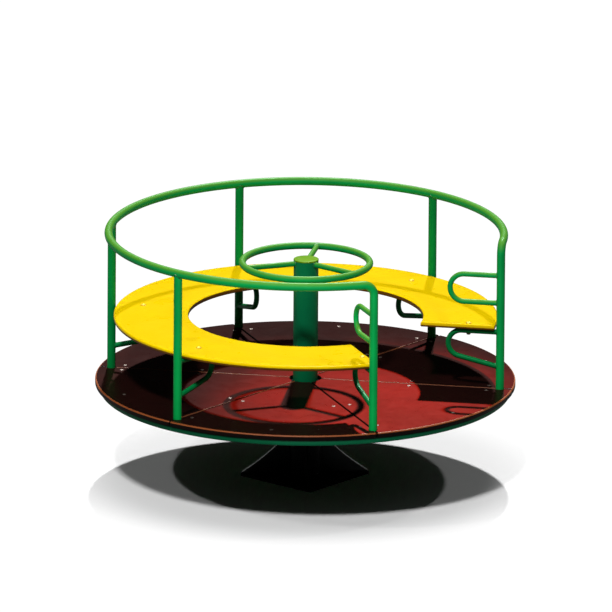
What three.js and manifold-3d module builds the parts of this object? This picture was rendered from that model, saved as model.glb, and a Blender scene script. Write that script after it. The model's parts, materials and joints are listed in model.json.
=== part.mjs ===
// Playground merry-go-round: a round floor with a ring bench and a guard rail that turns freely
// about a fixed centre column, which carries a fixed hand wheel for pulling the floor round.
// Millimetres, +Z up. The origin is on the turning axis at the underside of the base plate.
// The way in between the two rail ends faces -Y.

import * as THREE from "three";
import { mergeVertices } from "three/addons/utils/BufferGeometryUtils.js";
import Module from "manifold-3d";

const wasm = await Module();
wasm.setup();

// ---------- driving dimensions ----------
const GAP = 0.3; // free gap left between pieces that touch

// floor
const FLOOR_R = 750; // outer radius of the board floor
const FLOOR_TOP = 360;
const FLOOR_T = 18;
const FLOOR_BORE_R = 56; // opening for the centre column
const SEAM = 4.5; // gap between two floor panels

// steel frame under the floor
const RING_R0 = 695,
  RING_R1 = 735,
  RING_H = 25;
const ARM_W = 40,
  ARM_H_IN = 60,
  ARM_H_OUT = 22,
  ARM_END_R = 693.4;

// guard rail and posts
const POST_R = 704; // radius of the circle that the posts and the rail stand on
const TUBE_R = 15,
  TUBE_WALL = 2.5;
const RAIL_Z = FLOOR_TOP + 534; // centre of the rail tube
const BEND_R = 40; // centreline radius of the bend at each rail end
const POST_STEP = 60; // degrees between posts

// bench
const SEAT_R0 = 418,
  SEAT_R1 = 685;
const SEAT_TOP = FLOOR_TOP + 236,
  SEAT_T = 18;
const SEAT_END = 19; // how far the bench runs past the line of the end posts
const SMALL_R = 9.5,
  SMALL_WALL = 2; // tube of the brackets and the entry handles
const BRACKET_REACH = 140; // post centre to the middle of the bracket's bend
const BRACKET_BEND = 48;
const BRACKET_SLOPE = 13; // degrees, the strut back down to the post
const SEAT_BOLT_R = 589; // radius of the circle of bench bolts

// entry handles
const HANDLE_TOP = FLOOR_TOP + 416.5,
  HANDLE_LOW = FLOOR_TOP + 315,
  HANDLE_REACH = 132;

// centre column and hand wheel
const COLUMN_R = 44.45,
  COLUMN_WALL = 4.5;
const COLUMN_TOP = FLOOR_TOP + 441;
const WHEEL_R = 227,
  WHEEL_TUBE_R = 12.5,
  WHEEL_WALL = 2.5;
const WHEEL_Z = FLOOR_TOP + 426;
const SPOKE_R = 9.75;

// pedestal
const BASE = 326,
  BASE_T = 12;
const PEDESTAL_R = 57,
  PEDESTAL_WALL = 7,
  PEDESTAL_TOP = 170;
const GUSSET_T = 8;

// spindle, hub and bearings
const SPINDLE_R = 30,
  SPINDLE_TOP = 430,
  FLANGE_TOP = 185;
const HUB_R = 66,
  HUB_Z0 = 190,
  BEARING_R = 55;
const UNDER = FLOOR_TOP - FLOOR_T; // underside of the floor boards

// ---------- helpers ----------
const rad = (d) => (d * Math.PI) / 180;

function solid(geometry) {
  const g = geometry.clone();
  for (const name of ["normal", "uv"])
    if (g.getAttribute(name)) g.deleteAttribute(name);
  const m = mergeVertices(g, 1e-3);
  return new wasm.Manifold(
    new wasm.Mesh({
      numProp: 3,
      vertProperties: new Float32Array(m.getAttribute("position").array),
      triVerts: new Uint32Array(m.index.array),
    }),
  );
}

function geometryOf(manifold) {
  const m = manifold.getMesh(),
    n = m.numProp,
    v = new Float32Array(m.numVert * 3);
  for (let i = 0; i < m.numVert; i++)
    for (let k = 0; k < 3; k++) v[i * 3 + k] = m.vertProperties[i * n + k];
  const g = new THREE.BufferGeometry()
    .setAttribute("position", new THREE.BufferAttribute(v, 3))
    .setIndex(new THREE.BufferAttribute(new Uint32Array(m.triVerts), 1))
    .toNonIndexed();
  g.computeVertexNormals();
  return g;
}

const cut = (geometry, ...tools) =>
  geometryOf(tools.reduce((s, t) => s.subtract(solid(t)), solid(geometry)));
const join = (geometry, ...others) =>
  geometryOf(others.reduce((s, t) => s.add(solid(t)), solid(geometry)));

// A solid of revolution about Z from a closed profile of [radius, z] points.
function lathe(profile, segments, closed = true) {
  const p = profile.map(([r, z]) => new THREE.Vector2(r, z));
  if (closed) p.push(p[0].clone());
  return new THREE.LatheGeometry(p, segments).rotateX(Math.PI / 2);
}
const ringProfile = (r0, r1, z0, z1) => [
  [r0, z0],
  [r1, z0],
  [r1, z1],
  [r0, z1],
];
const pipe = (r0, r1, z0, z1, segments) =>
  lathe(ringProfile(r0, r1, z0, z1), segments);
const bar = (r, z0, z1, segments) =>
  new THREE.CylinderGeometry(r, r, z1 - z0, segments)
    .rotateX(Math.PI / 2)
    .translate(0, 0, (z0 + z1) / 2);
// A round bar along +X from x0 to x1.
const barX = (r, x0, x1, segments) =>
  new THREE.CylinderGeometry(r, r, x1 - x0, segments)
    .rotateZ(Math.PI / 2)
    .translate((x0 + x1) / 2, 0, 0);

// A path with one section of the sweep at each of its points.
class KnotPath extends THREE.Curve {
  constructor(points) {
    super();
    this.points = points;
  }
  getPoint(t, target = new THREE.Vector3()) {
    const i = Math.min(
      this.points.length - 1,
      Math.max(0, Math.round(t * (this.points.length - 1))),
    );
    return target.copy(this.points[i]);
  }
  getPointAt(u, target) {
    return this.getPoint(u, target);
  }
  getTangent(t, target = new THREE.Vector3()) {
    const n = this.points.length - 1,
      i = Math.min(n, Math.max(0, Math.round(t * n)));
    const a = this.points[Math.max(0, i - 1)],
      b = this.points[i],
      c = this.points[Math.min(n, i + 1)];
    const before = b.clone().sub(a).normalize(),
      after = c.clone().sub(b).normalize();
    return target.copy(before).add(after).normalize();
  }
  getTangentAt(u, target) {
    return this.getTangent(u, target);
  }
}

function circleShape(r, sides, hole, holeSides) {
  const ring = (radius, n) =>
    Array.from({ length: n }, (_, i) => {
      const a = (2 * Math.PI * i) / n;
      return new THREE.Vector2(radius * Math.cos(a), radius * Math.sin(a));
    });
  const shape = new THREE.Shape(ring(r, sides));
  if (hole) shape.holes.push(new THREE.Path(ring(hole, holeSides)));
  return shape;
}

const sweep = (points, r, wall, sides = 10, holeSides = 6) =>
  new THREE.ExtrudeGeometry(circleShape(r, sides, wall && r - wall, holeSides), {
    steps: points.length - 1,
    bevelEnabled: false,
    extrudePath: new KnotPath(points),
  });

const plate = (shape, z0, t) =>
  new THREE.ExtrudeGeometry(shape, {
    depth: t,
    bevelEnabled: false,
    curveSegments: 24,
  }).translate(0, 0, z0);

// ---------- materials ----------
const paint = (color, roughness) =>
  new THREE.MeshStandardMaterial({ color, roughness, metalness: 0.1 });
const GREEN = paint(0x0f8a3c, 0.35);
const DARK = paint(0x14201a, 0.5);
const YELLOW = new THREE.MeshStandardMaterial({
  color: 0xffde00,
  roughness: 0.3,
  metalness: 0,
});
const BOARD = new THREE.MeshStandardMaterial({
  color: 0x6a2420,
  roughness: 0.25,
  metalness: 0,
});
const STEEL = new THREE.MeshStandardMaterial({
  color: 0xb8bcc0,
  roughness: 0.3,
  metalness: 1,
});
const RUBBER = new THREE.MeshStandardMaterial({
  color: 0x101010,
  roughness: 0.8,
  metalness: 0,
});

const merryGoRound = new THREE.Group();
const fixed = new THREE.Group(); // stands on the ground
const turning = new THREE.Group(); // turns about Z
merryGoRound.add(fixed, turning);

function part(parent, name, geometry, material, degrees = 0) {
  const mesh = new THREE.Mesh(geometry, material);
  mesh.name = name;
  mesh.rotation.z = rad(degrees);
  parent.add(mesh);
  return mesh;
}

// ---------- pedestal ----------
{
  const h = BASE / 2;
  const shape = new THREE.Shape([
    new THREE.Vector2(-h, -h),
    new THREE.Vector2(h, -h),
    new THREE.Vector2(h, h),
    new THREE.Vector2(-h, h),
  ]);
  for (const [x, y] of [
    [125, 0],
    [0, 125],
    [-125, 0],
    [0, -125],
  ]) {
    const hole = new THREE.Path();
    for (let i = 0; i < 12; i++) {
      const a = (2 * Math.PI * i) / 12,
        px = x + 9 * Math.cos(a),
        py = y + 9 * Math.sin(a);
      if (i) hole.lineTo(px, py);
      else hole.moveTo(px, py);
    }
    shape.holes.push(hole);
  }
  part(fixed, "base_plate", plate(shape, 0, BASE_T), DARK);

  part(
    fixed,
    "pedestal_tube",
    pipe(PEDESTAL_R - PEDESTAL_WALL, PEDESTAL_R, BASE_T + GAP, PEDESTAL_TOP, 24),
    DARK,
  );

  // Webs from the plate's corners up to the tube, with a hollow outer edge.
  const foot = h * Math.SQRT2 - 5.5,
    top = 160,
    inner = PEDESTAL_R + GAP + 0.1;
  const curve = new THREE.QuadraticBezierCurve(
    new THREE.Vector2(foot, BASE_T + 4),
    new THREE.Vector2(128, 78),
    new THREE.Vector2(inner, top),
  );
  const web = new THREE.Shape([
    new THREE.Vector2(inner, BASE_T + GAP),
    new THREE.Vector2(foot, BASE_T + GAP),
    ...curve.getPoints(8),
  ]);
  const webGeometry = new THREE.ExtrudeGeometry(web, {
    depth: GUSSET_T,
    bevelEnabled: false,
  })
    .translate(0, 0, -GUSSET_T / 2)
    .rotateX(Math.PI / 2);
  for (let i = 0; i < 4; i++)
    part(fixed, "gusset_" + (i + 1), webGeometry, DARK, 45 + 90 * i);
}

// ---------- spindle and what sits on it ----------
part(
  fixed,
  "spindle",
  lathe(
    [
      [0, PEDESTAL_TOP + GAP],
      [PEDESTAL_R, PEDESTAL_TOP + GAP],
      [PEDESTAL_R, FLANGE_TOP],
      [SPINDLE_R, FLANGE_TOP],
      [SPINDLE_R, SPINDLE_TOP - 2],
      [SPINDLE_R - 2, SPINDLE_TOP],
      [8.4, SPINDLE_TOP],
      [8.4, SPINDLE_TOP - 60],
      [0, SPINDLE_TOP - 60],
    ],
    24,
    false,
  ),
  STEEL,
);
// Taper roller bearing at the bottom: it carries the floor's weight.
part(
  fixed,
  "lower_bearing_cone",
  lathe(
    [
      [SPINDLE_R + GAP, FLANGE_TOP + GAP],
      [43, FLANGE_TOP + GAP],
      [43, 190],
      [40.5, 190],
      [36.5, 211],
      [SPINDLE_R + GAP, 211],
    ],
    24,
  ),
  STEEL,
);
part(
  fixed,
  "bearing_spacer",
  pipe(SPINDLE_R + GAP, 35.5, 211 + GAP, 298, 24),
  STEEL,
);
part(
  fixed,
  "upper_bearing_inner_ring",
  pipe(SPINDLE_R + GAP, 35.8, 298 + GAP, 320, 24),
  STEEL,
);
{
  // Round nut with four key slots.
  const slots = [0, 90].map((a) =>
    new THREE.BoxGeometry(90, 8, 20).rotateZ(rad(a)).translate(0, 0, 326),
  );
  const ring = pipe(SPINDLE_R + GAP, 42, 320 + GAP, 331, 24);
  const core = pipe(SPINDLE_R + GAP, 37, 320 + GAP, 331, 24);
  part(fixed, "spindle_lock_nut", join(cut(ring, ...slots), core), STEEL);
}
part(
  fixed,
  "column_foot_ring",
  pipe(SPINDLE_R + GAP, COLUMN_R - COLUMN_WALL - GAP, 331 + GAP, 346, 24),
  STEEL,
);
part(
  fixed,
  "column_tube",
  pipe(COLUMN_R - COLUMN_WALL, COLUMN_R, 331 + GAP, COLUMN_TOP - 5, 40),
  GREEN,
);
part(
  fixed,
  "column_bulkhead",
  pipe(9, COLUMN_R - COLUMN_WALL - GAP, SPINDLE_TOP + GAP, SPINDLE_TOP + 12, 24),
  STEEL,
);
part(
  fixed,
  "column_bolt",
  join(
    bar(8, SPINDLE_TOP - 50, SPINDLE_TOP + 14, 16),
    bar(13.8, SPINDLE_TOP + 12 + GAP, SPINDLE_TOP + 22, 6),
  ),
  STEEL,
);
part(
  fixed,
  "column_cap",
  lathe(
    [
      [0, COLUMN_TOP - 12],
      [COLUMN_R - COLUMN_WALL - GAP, COLUMN_TOP - 12],
      [COLUMN_R - COLUMN_WALL - GAP, COLUMN_TOP - 5 + GAP],
      [COLUMN_R + 0.5, COLUMN_TOP - 5 + GAP],
      [COLUMN_R + 0.5, COLUMN_TOP - 1.5],
      [COLUMN_R - 1.5, COLUMN_TOP],
      [0, COLUMN_TOP],
    ],
    40,
    false,
  ),
  GREEN,
);

// ---------- hand wheel ----------
{
  const torus = (tube, radial) =>
    new THREE.TorusGeometry(WHEEL_R, tube, radial, 36).translate(0, 0, WHEEL_Z);
  const vents = [0, 1, 2].map((i) =>
    barX(4, WHEEL_R - 20, WHEEL_R, 8)
      .translate(0, 0, WHEEL_Z)
      .rotateZ(rad(-90 + 120 * i)),
  );
  part(
    fixed,
    "wheel_rim",
    cut(torus(WHEEL_TUBE_R, 10), torus(WHEEL_TUBE_R - WHEEL_WALL, 6), ...vents),
    GREEN,
  );
  const spoke = cut(
    barX(SPOKE_R, 30, WHEEL_R, 12).translate(0, 0, WHEEL_Z),
    barX(SPOKE_R - 2, 20, WHEEL_R + 10, 8).translate(0, 0, WHEEL_Z),
    torus(WHEEL_TUBE_R + GAP, 10),
    bar(COLUMN_R + GAP, WHEEL_Z - 30, WHEEL_Z + 30, 40),
  );
  for (let i = 0; i < 3; i++)
    part(fixed, "wheel_spoke_" + (i + 1), spoke, GREEN, -90 + 120 * i);
}

// ---------- hub and bearings that turn with it ----------
part(
  turning,
  "hub_housing",
  lathe(
    [
      [BEARING_R + GAP, HUB_Z0],
      [HUB_R, HUB_Z0],
      [HUB_R, UNDER - GAP],
      [BEARING_R + GAP, UNDER - GAP],
      [BEARING_R + GAP, 298],
      [50, 298],
      [50, 214],
      [BEARING_R + GAP, 214],
    ],
    24,
  ),
  GREEN,
);
part(
  turning,
  "lower_bearing_cup",
  lathe(
    [
      [51.5, 191],
      [BEARING_R, 191],
      [BEARING_R, 214 - GAP],
      [47.5, 214 - GAP],
    ],
    24,
  ),
  STEEL,
);
part(
  turning,
  "upper_bearing_outer_ring",
  pipe(49.8, BEARING_R, 298 + GAP, 320, 24),
  STEEL,
);
part(
  turning,
  "hub_seal",
  lathe(
    [
      [46.5, 323],
      [BEARING_R, 323],
      [BEARING_R, UNDER + 4],
      [50, UNDER + 4],
      [COLUMN_R + 0.8, UNDER],
      [COLUMN_R + 0.8, UNDER - 3],
      [49, UNDER - 4],
      [46.5, 327],
    ],
    24,
  ),
  RUBBER,
);

// Cages with their rolling elements: each turns a little over half as far as the floor.
{
  const rollers = Array.from({ length: 12 }, (_, i) =>
    new THREE.CylinderGeometry(4.3, 4.6, 17, 8)
      .rotateX(Math.PI / 2)
      .rotateY(rad(-11))
      .translate(44, 0, 201.5)
      .rotateZ(rad(30 * i)),
  );
  const cage = lathe(
    [
      [42.6, 199.5],
      [45.1, 199.5],
      [44.7, 203.5],
      [42.2, 203.5],
    ],
    24,
  );
  const lower = new THREE.Group();
  const upper = new THREE.Group();
  merryGoRound.add(lower, upper);
  part(lower, "lower_bearing_rollers", join(cage, ...rollers), STEEL);
  const balls = Array.from({ length: 12 }, (_, i) =>
    new THREE.SphereGeometry(6.3, 8, 5).translate(42.55, 0, 309).rotateZ(rad(30 * i)),
  );
  part(
    upper,
    "upper_bearing_balls",
    join(pipe(41.3, 43.8, 306.5, 311.5, 24), ...balls),
    STEEL,
  );
}

// ---------- steel frame ----------
part(
  turning,
  "frame_ring",
  pipe(RING_R0, RING_R1, UNDER - RING_H, UNDER - GAP, 60),
  GREEN,
);
{
  const top = UNDER - GAP,
    r0 = HUB_R + GAP;
  const side = new THREE.Shape([
    new THREE.Vector2(r0, top - ARM_H_IN),
    new THREE.Vector2(150, top - ARM_H_IN),
    new THREE.Vector2(ARM_END_R, top - ARM_H_OUT),
    new THREE.Vector2(ARM_END_R, top),
    new THREE.Vector2(r0, top),
  ]);
  const bore = new THREE.Shape([
    new THREE.Vector2(r0 - 5, top - ARM_H_IN + 4),
    new THREE.Vector2(151, top - ARM_H_IN + 4),
    new THREE.Vector2(ARM_END_R + 5, top - ARM_H_OUT + 4),
    new THREE.Vector2(ARM_END_R + 5, top - 4),
    new THREE.Vector2(r0 - 5, top - 4),
  ]);
  const slab = (shape, w) =>
    new THREE.ExtrudeGeometry(shape, { depth: w, bevelEnabled: false })
      .translate(0, 0, -w / 2)
      .rotateX(Math.PI / 2);
  const arm = cut(slab(side, ARM_W), slab(bore, ARM_W - 6));
  for (let i = 0; i < 6; i++)
    part(turning, "frame_arm_" + (i + 1), arm, GREEN, -90 + 30 + POST_STEP * i);
}

// ---------- floor panels ----------
{
  const half = rad(POST_STEP / 2),
    s = SEAM / 2;
  const seamPoint = (r, side) => {
    const along = Math.sqrt(r * r - s * s);
    const c = Math.cos(half),
      d = Math.sin(half);
    return [along * c + s * d, side * (along * d - s * c)];
  };
  const shape = new THREE.Shape();
  const [ox, oy] = seamPoint(FLOOR_R, 1),
    [ix, iy] = seamPoint(FLOOR_BORE_R, 1);
  const oa = Math.atan2(oy, ox),
    ia = Math.atan2(iy, ix);
  shape.moveTo(ox, -oy);
  for (let i = 1; i <= 16; i++) {
    const a = -oa + (2 * oa * i) / 16;
    shape.lineTo(FLOOR_R * Math.cos(a), FLOOR_R * Math.sin(a));
  }
  for (let i = 0; i <= 6; i++) {
    const a = ia - (2 * ia * i) / 6;
    shape.lineTo(FLOOR_BORE_R * Math.cos(a), FLOOR_BORE_R * Math.sin(a));
  }
  const notch = (side) =>
    bar(TUBE_R + 0.8, UNDER - 5, FLOOR_TOP + 5, 16).translate(
      POST_R * Math.cos(half),
      side * POST_R * Math.sin(half),
      0,
    );
  const panel = cut(plate(shape, UNDER, FLOOR_T), notch(1), notch(-1));
  for (let i = 0; i < 6; i++)
    part(turning, "floor_panel_" + (i + 1), panel, BOARD, -90 + POST_STEP * i);
}

// ---------- guard rail: one bent tube with both end posts ----------
const railLine = [];
{
  const at = (deg, z) =>
    new THREE.Vector3(POST_R * Math.cos(rad(deg)), POST_R * Math.sin(rad(deg)), z);
  const deg = (mm) => (mm / POST_R) * (180 / Math.PI);
  const a0 = -90 + POST_STEP / 2, // first end post
    a1 = 270 - POST_STEP / 2; // last end post
  railLine.push(at(a0, UNDER + GAP));
  const BEND_STEPS = 4;
  for (let i = 0; i <= BEND_STEPS; i++) {
    const t = (Math.PI / 2) * (i / BEND_STEPS); // upright to level
    railLine.push(
      at(a0 + deg(BEND_R * (1 - Math.cos(t))), RAIL_Z - BEND_R * (1 - Math.sin(t))),
    );
  }
  const s0 = a0 + deg(BEND_R),
    s1 = a1 - deg(BEND_R),
    n = 48;
  for (let i = 1; i < n; i++) railLine.push(at(s0 + ((s1 - s0) * i) / n, RAIL_Z));
  for (let i = 0; i <= BEND_STEPS; i++) {
    const t = (Math.PI / 2) * (i / BEND_STEPS); // level to upright
    railLine.push(
      at(s1 + deg(BEND_R * Math.sin(t)), RAIL_Z - BEND_R * (1 - Math.cos(t))),
    );
  }
  railLine.push(at(a1, UNDER + GAP));
  part(turning, "guard_rail", sweep(railLine, TUBE_R, TUBE_WALL), GREEN);
}

// ---------- the four posts between the rail's ends ----------
const postAngles = [0, 1, 2, 3, 4, 5].map((i) => -60 + POST_STEP * i);
{
  const saddle = sweep(railLine, TUBE_R + GAP + 0.1, 0);
  const post = pipe(TUBE_R - TUBE_WALL, TUBE_R, UNDER + GAP, RAIL_Z - 6, 16).translate(
    POST_R,
    0,
    0,
  );
  postAngles
    .slice(1, 5)
    .forEach((a, i) =>
      part(turning, "post_" + (i + 1), cut(post.clone().rotateZ(rad(a)), saddle), GREEN),
    );
}

// ---------- bench brackets, entry handles, bench ----------
{
  const postTool = (z0, z1) => bar(TUBE_R + GAP, z0, z1, 16).translate(POST_R, 0, 0);
  const at = (inward, z) => new THREE.Vector3(POST_R - inward, 0, z);
  const arc = (cx, cz, r, from, to, n) =>
    Array.from({ length: n + 1 }, (_, i) => {
      const a = rad(from + ((to - from) * i) / n);
      return at(cx + r * Math.cos(a), cz + r * Math.sin(a));
    });

  const zTop = SEAT_TOP - SEAT_T - GAP - SMALL_R,
    zBend = zTop - BRACKET_BEND;
  const bend = arc(
    BRACKET_REACH,
    zBend,
    BRACKET_BEND,
    -90 + BRACKET_SLOPE,
    90,
    6,
  );
  const low = bend[0].clone(),
    run = POST_R - low.x;
  const bracketPath = [
    at(5, low.z - (run - 5) * Math.tan(rad(BRACKET_SLOPE))),
    ...bend,
    at(5, zTop),
  ];
  const boltHole = bar(4.6, zTop - 30, zTop + 30, 8).translate(SEAT_BOLT_R, 0, 0);
  const bracket = cut(
    sweep(bracketPath, SMALL_R, SMALL_WALL, 8, 6),
    postTool(FLOOR_TOP, SEAT_TOP),
    boltHole,
  );
  postAngles.forEach((a, i) =>
    part(turning, "seat_bracket_" + (i + 1), bracket, GREEN, a),
  );

  const zm = (HANDLE_TOP + HANDLE_LOW) / 2,
    hr = (HANDLE_TOP - HANDLE_LOW) / 2;
  const handlePath = [
    at(5, HANDLE_LOW),
    ...arc(HANDLE_REACH, zm, hr, -90, 90, 7),
    at(5, HANDLE_TOP),
  ];
  const handle = cut(
    sweep(handlePath, SMALL_R, SMALL_WALL, 8, 6),
    postTool(HANDLE_LOW - 40, HANDLE_TOP + 40),
  );
  part(turning, "entry_handle_1", handle, GREEN, postAngles[0]);
  part(turning, "entry_handle_2", handle, GREEN, postAngles[5]);

  // Bench: one board, about five sixths of a ring, with square ends just past the end posts.
  const bench = new THREE.Shape();
  const end = (r, side) => {
    // the point at radius r on a line beside the end post's radius
    const along = Math.sqrt(r * r - SEAT_END * SEAT_END);
    const a = rad(postAngles[0]);
    const x = along * Math.cos(a) - SEAT_END * Math.abs(Math.sin(a)),
      y = along * Math.sin(a) - SEAT_END * Math.cos(a);
    return new THREE.Vector2(side * x, y);
  };
  const o = end(SEAT_R1, 1),
    q = end(SEAT_R0, 1);
  const oa = Math.atan2(o.y, o.x),
    qa = Math.atan2(q.y, q.x);
  bench.moveTo(o.x, o.y);
  const no = 50,
    ni = 36;
  for (let i = 1; i <= no; i++) {
    const a = oa + ((Math.PI - 2 * oa) * i) / no;
    bench.lineTo(SEAT_R1 * Math.cos(a), SEAT_R1 * Math.sin(a));
  }
  for (let i = 0; i <= ni; i++) {
    const a = Math.PI - qa - ((Math.PI - 2 * qa) * i) / ni;
    bench.lineTo(SEAT_R0 * Math.cos(a), SEAT_R0 * Math.sin(a));
  }
  for (const d of postAngles) {
    const hole = new THREE.Path();
    for (let i = 0; i < 8; i++) {
      const a = (2 * Math.PI * i) / 8 + rad(d),
        px = SEAT_BOLT_R * Math.cos(rad(d)) + 4.6 * Math.cos(a),
        py = SEAT_BOLT_R * Math.sin(rad(d)) + 4.6 * Math.sin(a);
      if (i) hole.lineTo(px, py);
      else hole.moveTo(px, py);
    }
    bench.holes.push(hole);
  }
  part(turning, "seat_board", plate(bench, SEAT_TOP - SEAT_T, SEAT_T), YELLOW);

  const bolt = lathe(
    [
      [0, SEAT_TOP - 42],
      [4, SEAT_TOP - 42],
      [4, SEAT_TOP + GAP],
      [10, SEAT_TOP + GAP],
      [9, SEAT_TOP + 2.4],
      [5.5, SEAT_TOP + 4.2],
      [0, SEAT_TOP + 4.8],
    ],
    12,
    false,
  ).translate(SEAT_BOLT_R, 0, 0);
  postAngles.forEach((a, i) =>
    part(turning, "seat_bolt_" + (i + 1), bolt, STEEL, a),
  );
}

export default merryGoRound;
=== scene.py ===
# Playground merry-go-round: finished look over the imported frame.
# Metres, +Z up, the same frame as the CAD. The entry between the rail ends faces -Y.
import json
import math

import bpy
import bmesh
from mathutils import Matrix, Vector

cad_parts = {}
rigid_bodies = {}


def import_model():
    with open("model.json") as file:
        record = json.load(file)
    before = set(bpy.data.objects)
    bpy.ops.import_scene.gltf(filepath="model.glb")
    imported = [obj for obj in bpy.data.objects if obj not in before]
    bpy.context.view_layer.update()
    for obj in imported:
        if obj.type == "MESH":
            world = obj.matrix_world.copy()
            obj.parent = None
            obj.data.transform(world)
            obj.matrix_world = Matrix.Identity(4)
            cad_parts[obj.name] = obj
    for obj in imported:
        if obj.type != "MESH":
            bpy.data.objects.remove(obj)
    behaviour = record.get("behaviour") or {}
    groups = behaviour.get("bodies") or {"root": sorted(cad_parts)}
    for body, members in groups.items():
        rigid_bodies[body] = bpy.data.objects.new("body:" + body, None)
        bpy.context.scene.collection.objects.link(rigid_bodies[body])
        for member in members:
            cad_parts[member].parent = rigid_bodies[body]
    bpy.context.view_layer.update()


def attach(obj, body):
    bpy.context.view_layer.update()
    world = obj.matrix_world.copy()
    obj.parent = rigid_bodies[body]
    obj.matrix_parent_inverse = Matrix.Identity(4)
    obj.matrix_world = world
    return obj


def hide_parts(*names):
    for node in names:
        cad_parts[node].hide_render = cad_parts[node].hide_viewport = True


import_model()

MM = 0.001

# ---------- positions, repeated from the CAD, in millimetres ----------
FLOOR_R = 749.9
FLOOR_TOP = 360.0
FLOOR_T = 18.0
UNDER = FLOOR_TOP - FLOOR_T
FLOOR_BORE_R = 56.0
SEAM = 4.5
RING_R0, RING_R1, RING_H = 695.0, 735.0, 25.0
ARM_W, ARM_H_IN, ARM_H_OUT, ARM_END_R = 40.0, 60.0, 22.0, 693.4
POST_R = 704.0
TUBE_R = 15.0
RAIL_Z = FLOOR_TOP + 533.54  # the round tube reaches as high as the CAD's many-sided one
BEND_R = 40.0
SEAT_R0, SEAT_R1 = 418.0, 685.0
SEAT_TOP = FLOOR_TOP + 236.0
SEAT_T = 18.0
SEAT_END = 19.0
SMALL_R = 9.5
BRACKET_REACH, BRACKET_BEND, BRACKET_SLOPE = 140.0, 48.0, 13.0
SEAT_BOLT_R = 589.0
HANDLE_TOP, HANDLE_LOW, HANDLE_REACH = FLOOR_TOP + 416.5, FLOOR_TOP + 315.0, 132.0
COLUMN_R, COLUMN_WALL, COLUMN_TOP = 44.45, 4.5, FLOOR_TOP + 441.0
WHEEL_R, WHEEL_TUBE_R, WHEEL_Z = 227.0, 12.5, FLOOR_TOP + 426.0
SPOKE_R = 9.75
BASE, BASE_T = 326.0, 12.0
PEDESTAL_R, PEDESTAL_WALL, PEDESTAL_TOP = 57.0, 7.0, 170.0
GUSSET_T = 8.0
SPINDLE_R, SPINDLE_TOP, FLANGE_TOP = 30.0, 430.0, 185.0
HUB_R, HUB_Z0, BEARING_R = 66.0, 190.0, 55.0
GAP = 0.3
POSTS = [-60.0 + 60.0 * i for i in range(6)]

rad = math.radians


def lin(r, g, b):
    """An sRGB colour, 0 to 255, as linear values with alpha."""
    f = lambda v: v / 12.92 if v <= 0.04045 else ((v + 0.055) / 1.055) ** 2.4
    return (f(r / 255.0), f(g / 255.0), f(b / 255.0), 1.0)


# =====================================================================
# Materials
# =====================================================================
class Mat:
    """A principled material with a few short calls for its nodes."""

    def __init__(self, name):
        self.m = bpy.data.materials.new(name)
        self.m.use_nodes = True
        self.t = self.m.node_tree
        self.t.nodes.clear()
        self.out = self.t.nodes.new("ShaderNodeOutputMaterial")
        self.b = self.t.nodes.new("ShaderNodeBsdfPrincipled")
        self.t.links.new(self.b.outputs[0], self.out.inputs[0])
        self.c = self.t.nodes.new("ShaderNodeTexCoord")

    def node(self, kind, **props):
        n = self.t.nodes.new(kind)
        for k, v in props.items():
            setattr(n, k, v)
        return n

    def link(self, a, b):
        self.t.links.new(a, b)

    def scaled(self, x, y, z):
        n = self.node("ShaderNodeMapping")
        n.inputs["Scale"].default_value = (x, y, z)
        self.link(self.c.outputs["Object"], n.inputs["Vector"])
        return n.outputs["Vector"]

    def noise(self, scale, detail=3.0, rough=0.5, vector=None, distort=0.0):
        n = self.node("ShaderNodeTexNoise")
        n.inputs["Scale"].default_value = scale
        n.inputs["Detail"].default_value = detail
        n.inputs["Roughness"].default_value = rough
        n.inputs["Distortion"].default_value = distort
        self.link(vector or self.c.outputs["Object"], n.inputs["Vector"])
        return n.outputs["Fac"]

    def cells(self, scale, vector=None, feature="F1", out="Distance"):
        n = self.node("ShaderNodeTexVoronoi", feature=feature)
        n.inputs["Scale"].default_value = scale
        self.link(vector or self.c.outputs["Object"], n.inputs["Vector"])
        return n.outputs[out]

    def remap(self, value, a, b, lo, hi, smooth=False):
        n = self.node("ShaderNodeMapRange")
        if smooth:
            n.interpolation_type = "SMOOTHSTEP"
        n.inputs["From Min"].default_value = a
        n.inputs["From Max"].default_value = b
        n.inputs["To Min"].default_value = lo
        n.inputs["To Max"].default_value = hi
        self.link(value, n.inputs["Value"])
        return n.outputs["Result"]

    def math(self, op, a, b):
        n = self.node("ShaderNodeMath", operation=op)
        for i, v in enumerate((a, b)):
            if isinstance(v, (int, float)):
                n.inputs[i].default_value = v
            else:
                self.link(v, n.inputs[i])
        return n.outputs[0]

    def mix(self, fac, a, b, blend="MIX"):
        n = self.node("ShaderNodeMix", data_type="RGBA", blend_type=blend)
        if isinstance(fac, (int, float)):
            n.inputs["Factor"].default_value = fac
        else:
            self.link(fac, n.inputs["Factor"])
        for sock, v in ((n.inputs[6], a), (n.inputs[7], b)):
            if isinstance(v, tuple):
                sock.default_value = v
            else:
                self.link(v, sock)
        return n.outputs[2]

    def colour(self, v):
        self.link(v, self.b.inputs["Base Color"])

    def rough(self, v):
        self.link(v, self.b.inputs["Roughness"])

    def bump(self, *layers):
        """layers of (height, distance in metres, strength)."""
        last = None
        for height, distance, strength in layers:
            n = self.node("ShaderNodeBump")
            n.inputs["Distance"].default_value = distance
            n.inputs["Strength"].default_value = strength
            self.link(height, n.inputs["Height"])
            if last is not None:
                self.link(last, n.inputs["Normal"])
            last = n.outputs["Normal"]
        self.link(last, self.b.inputs["Normal"])

    def set(self, **values):
        for k, v in values.items():
            self.b.inputs[k.replace("_", " ")].default_value = v


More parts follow.
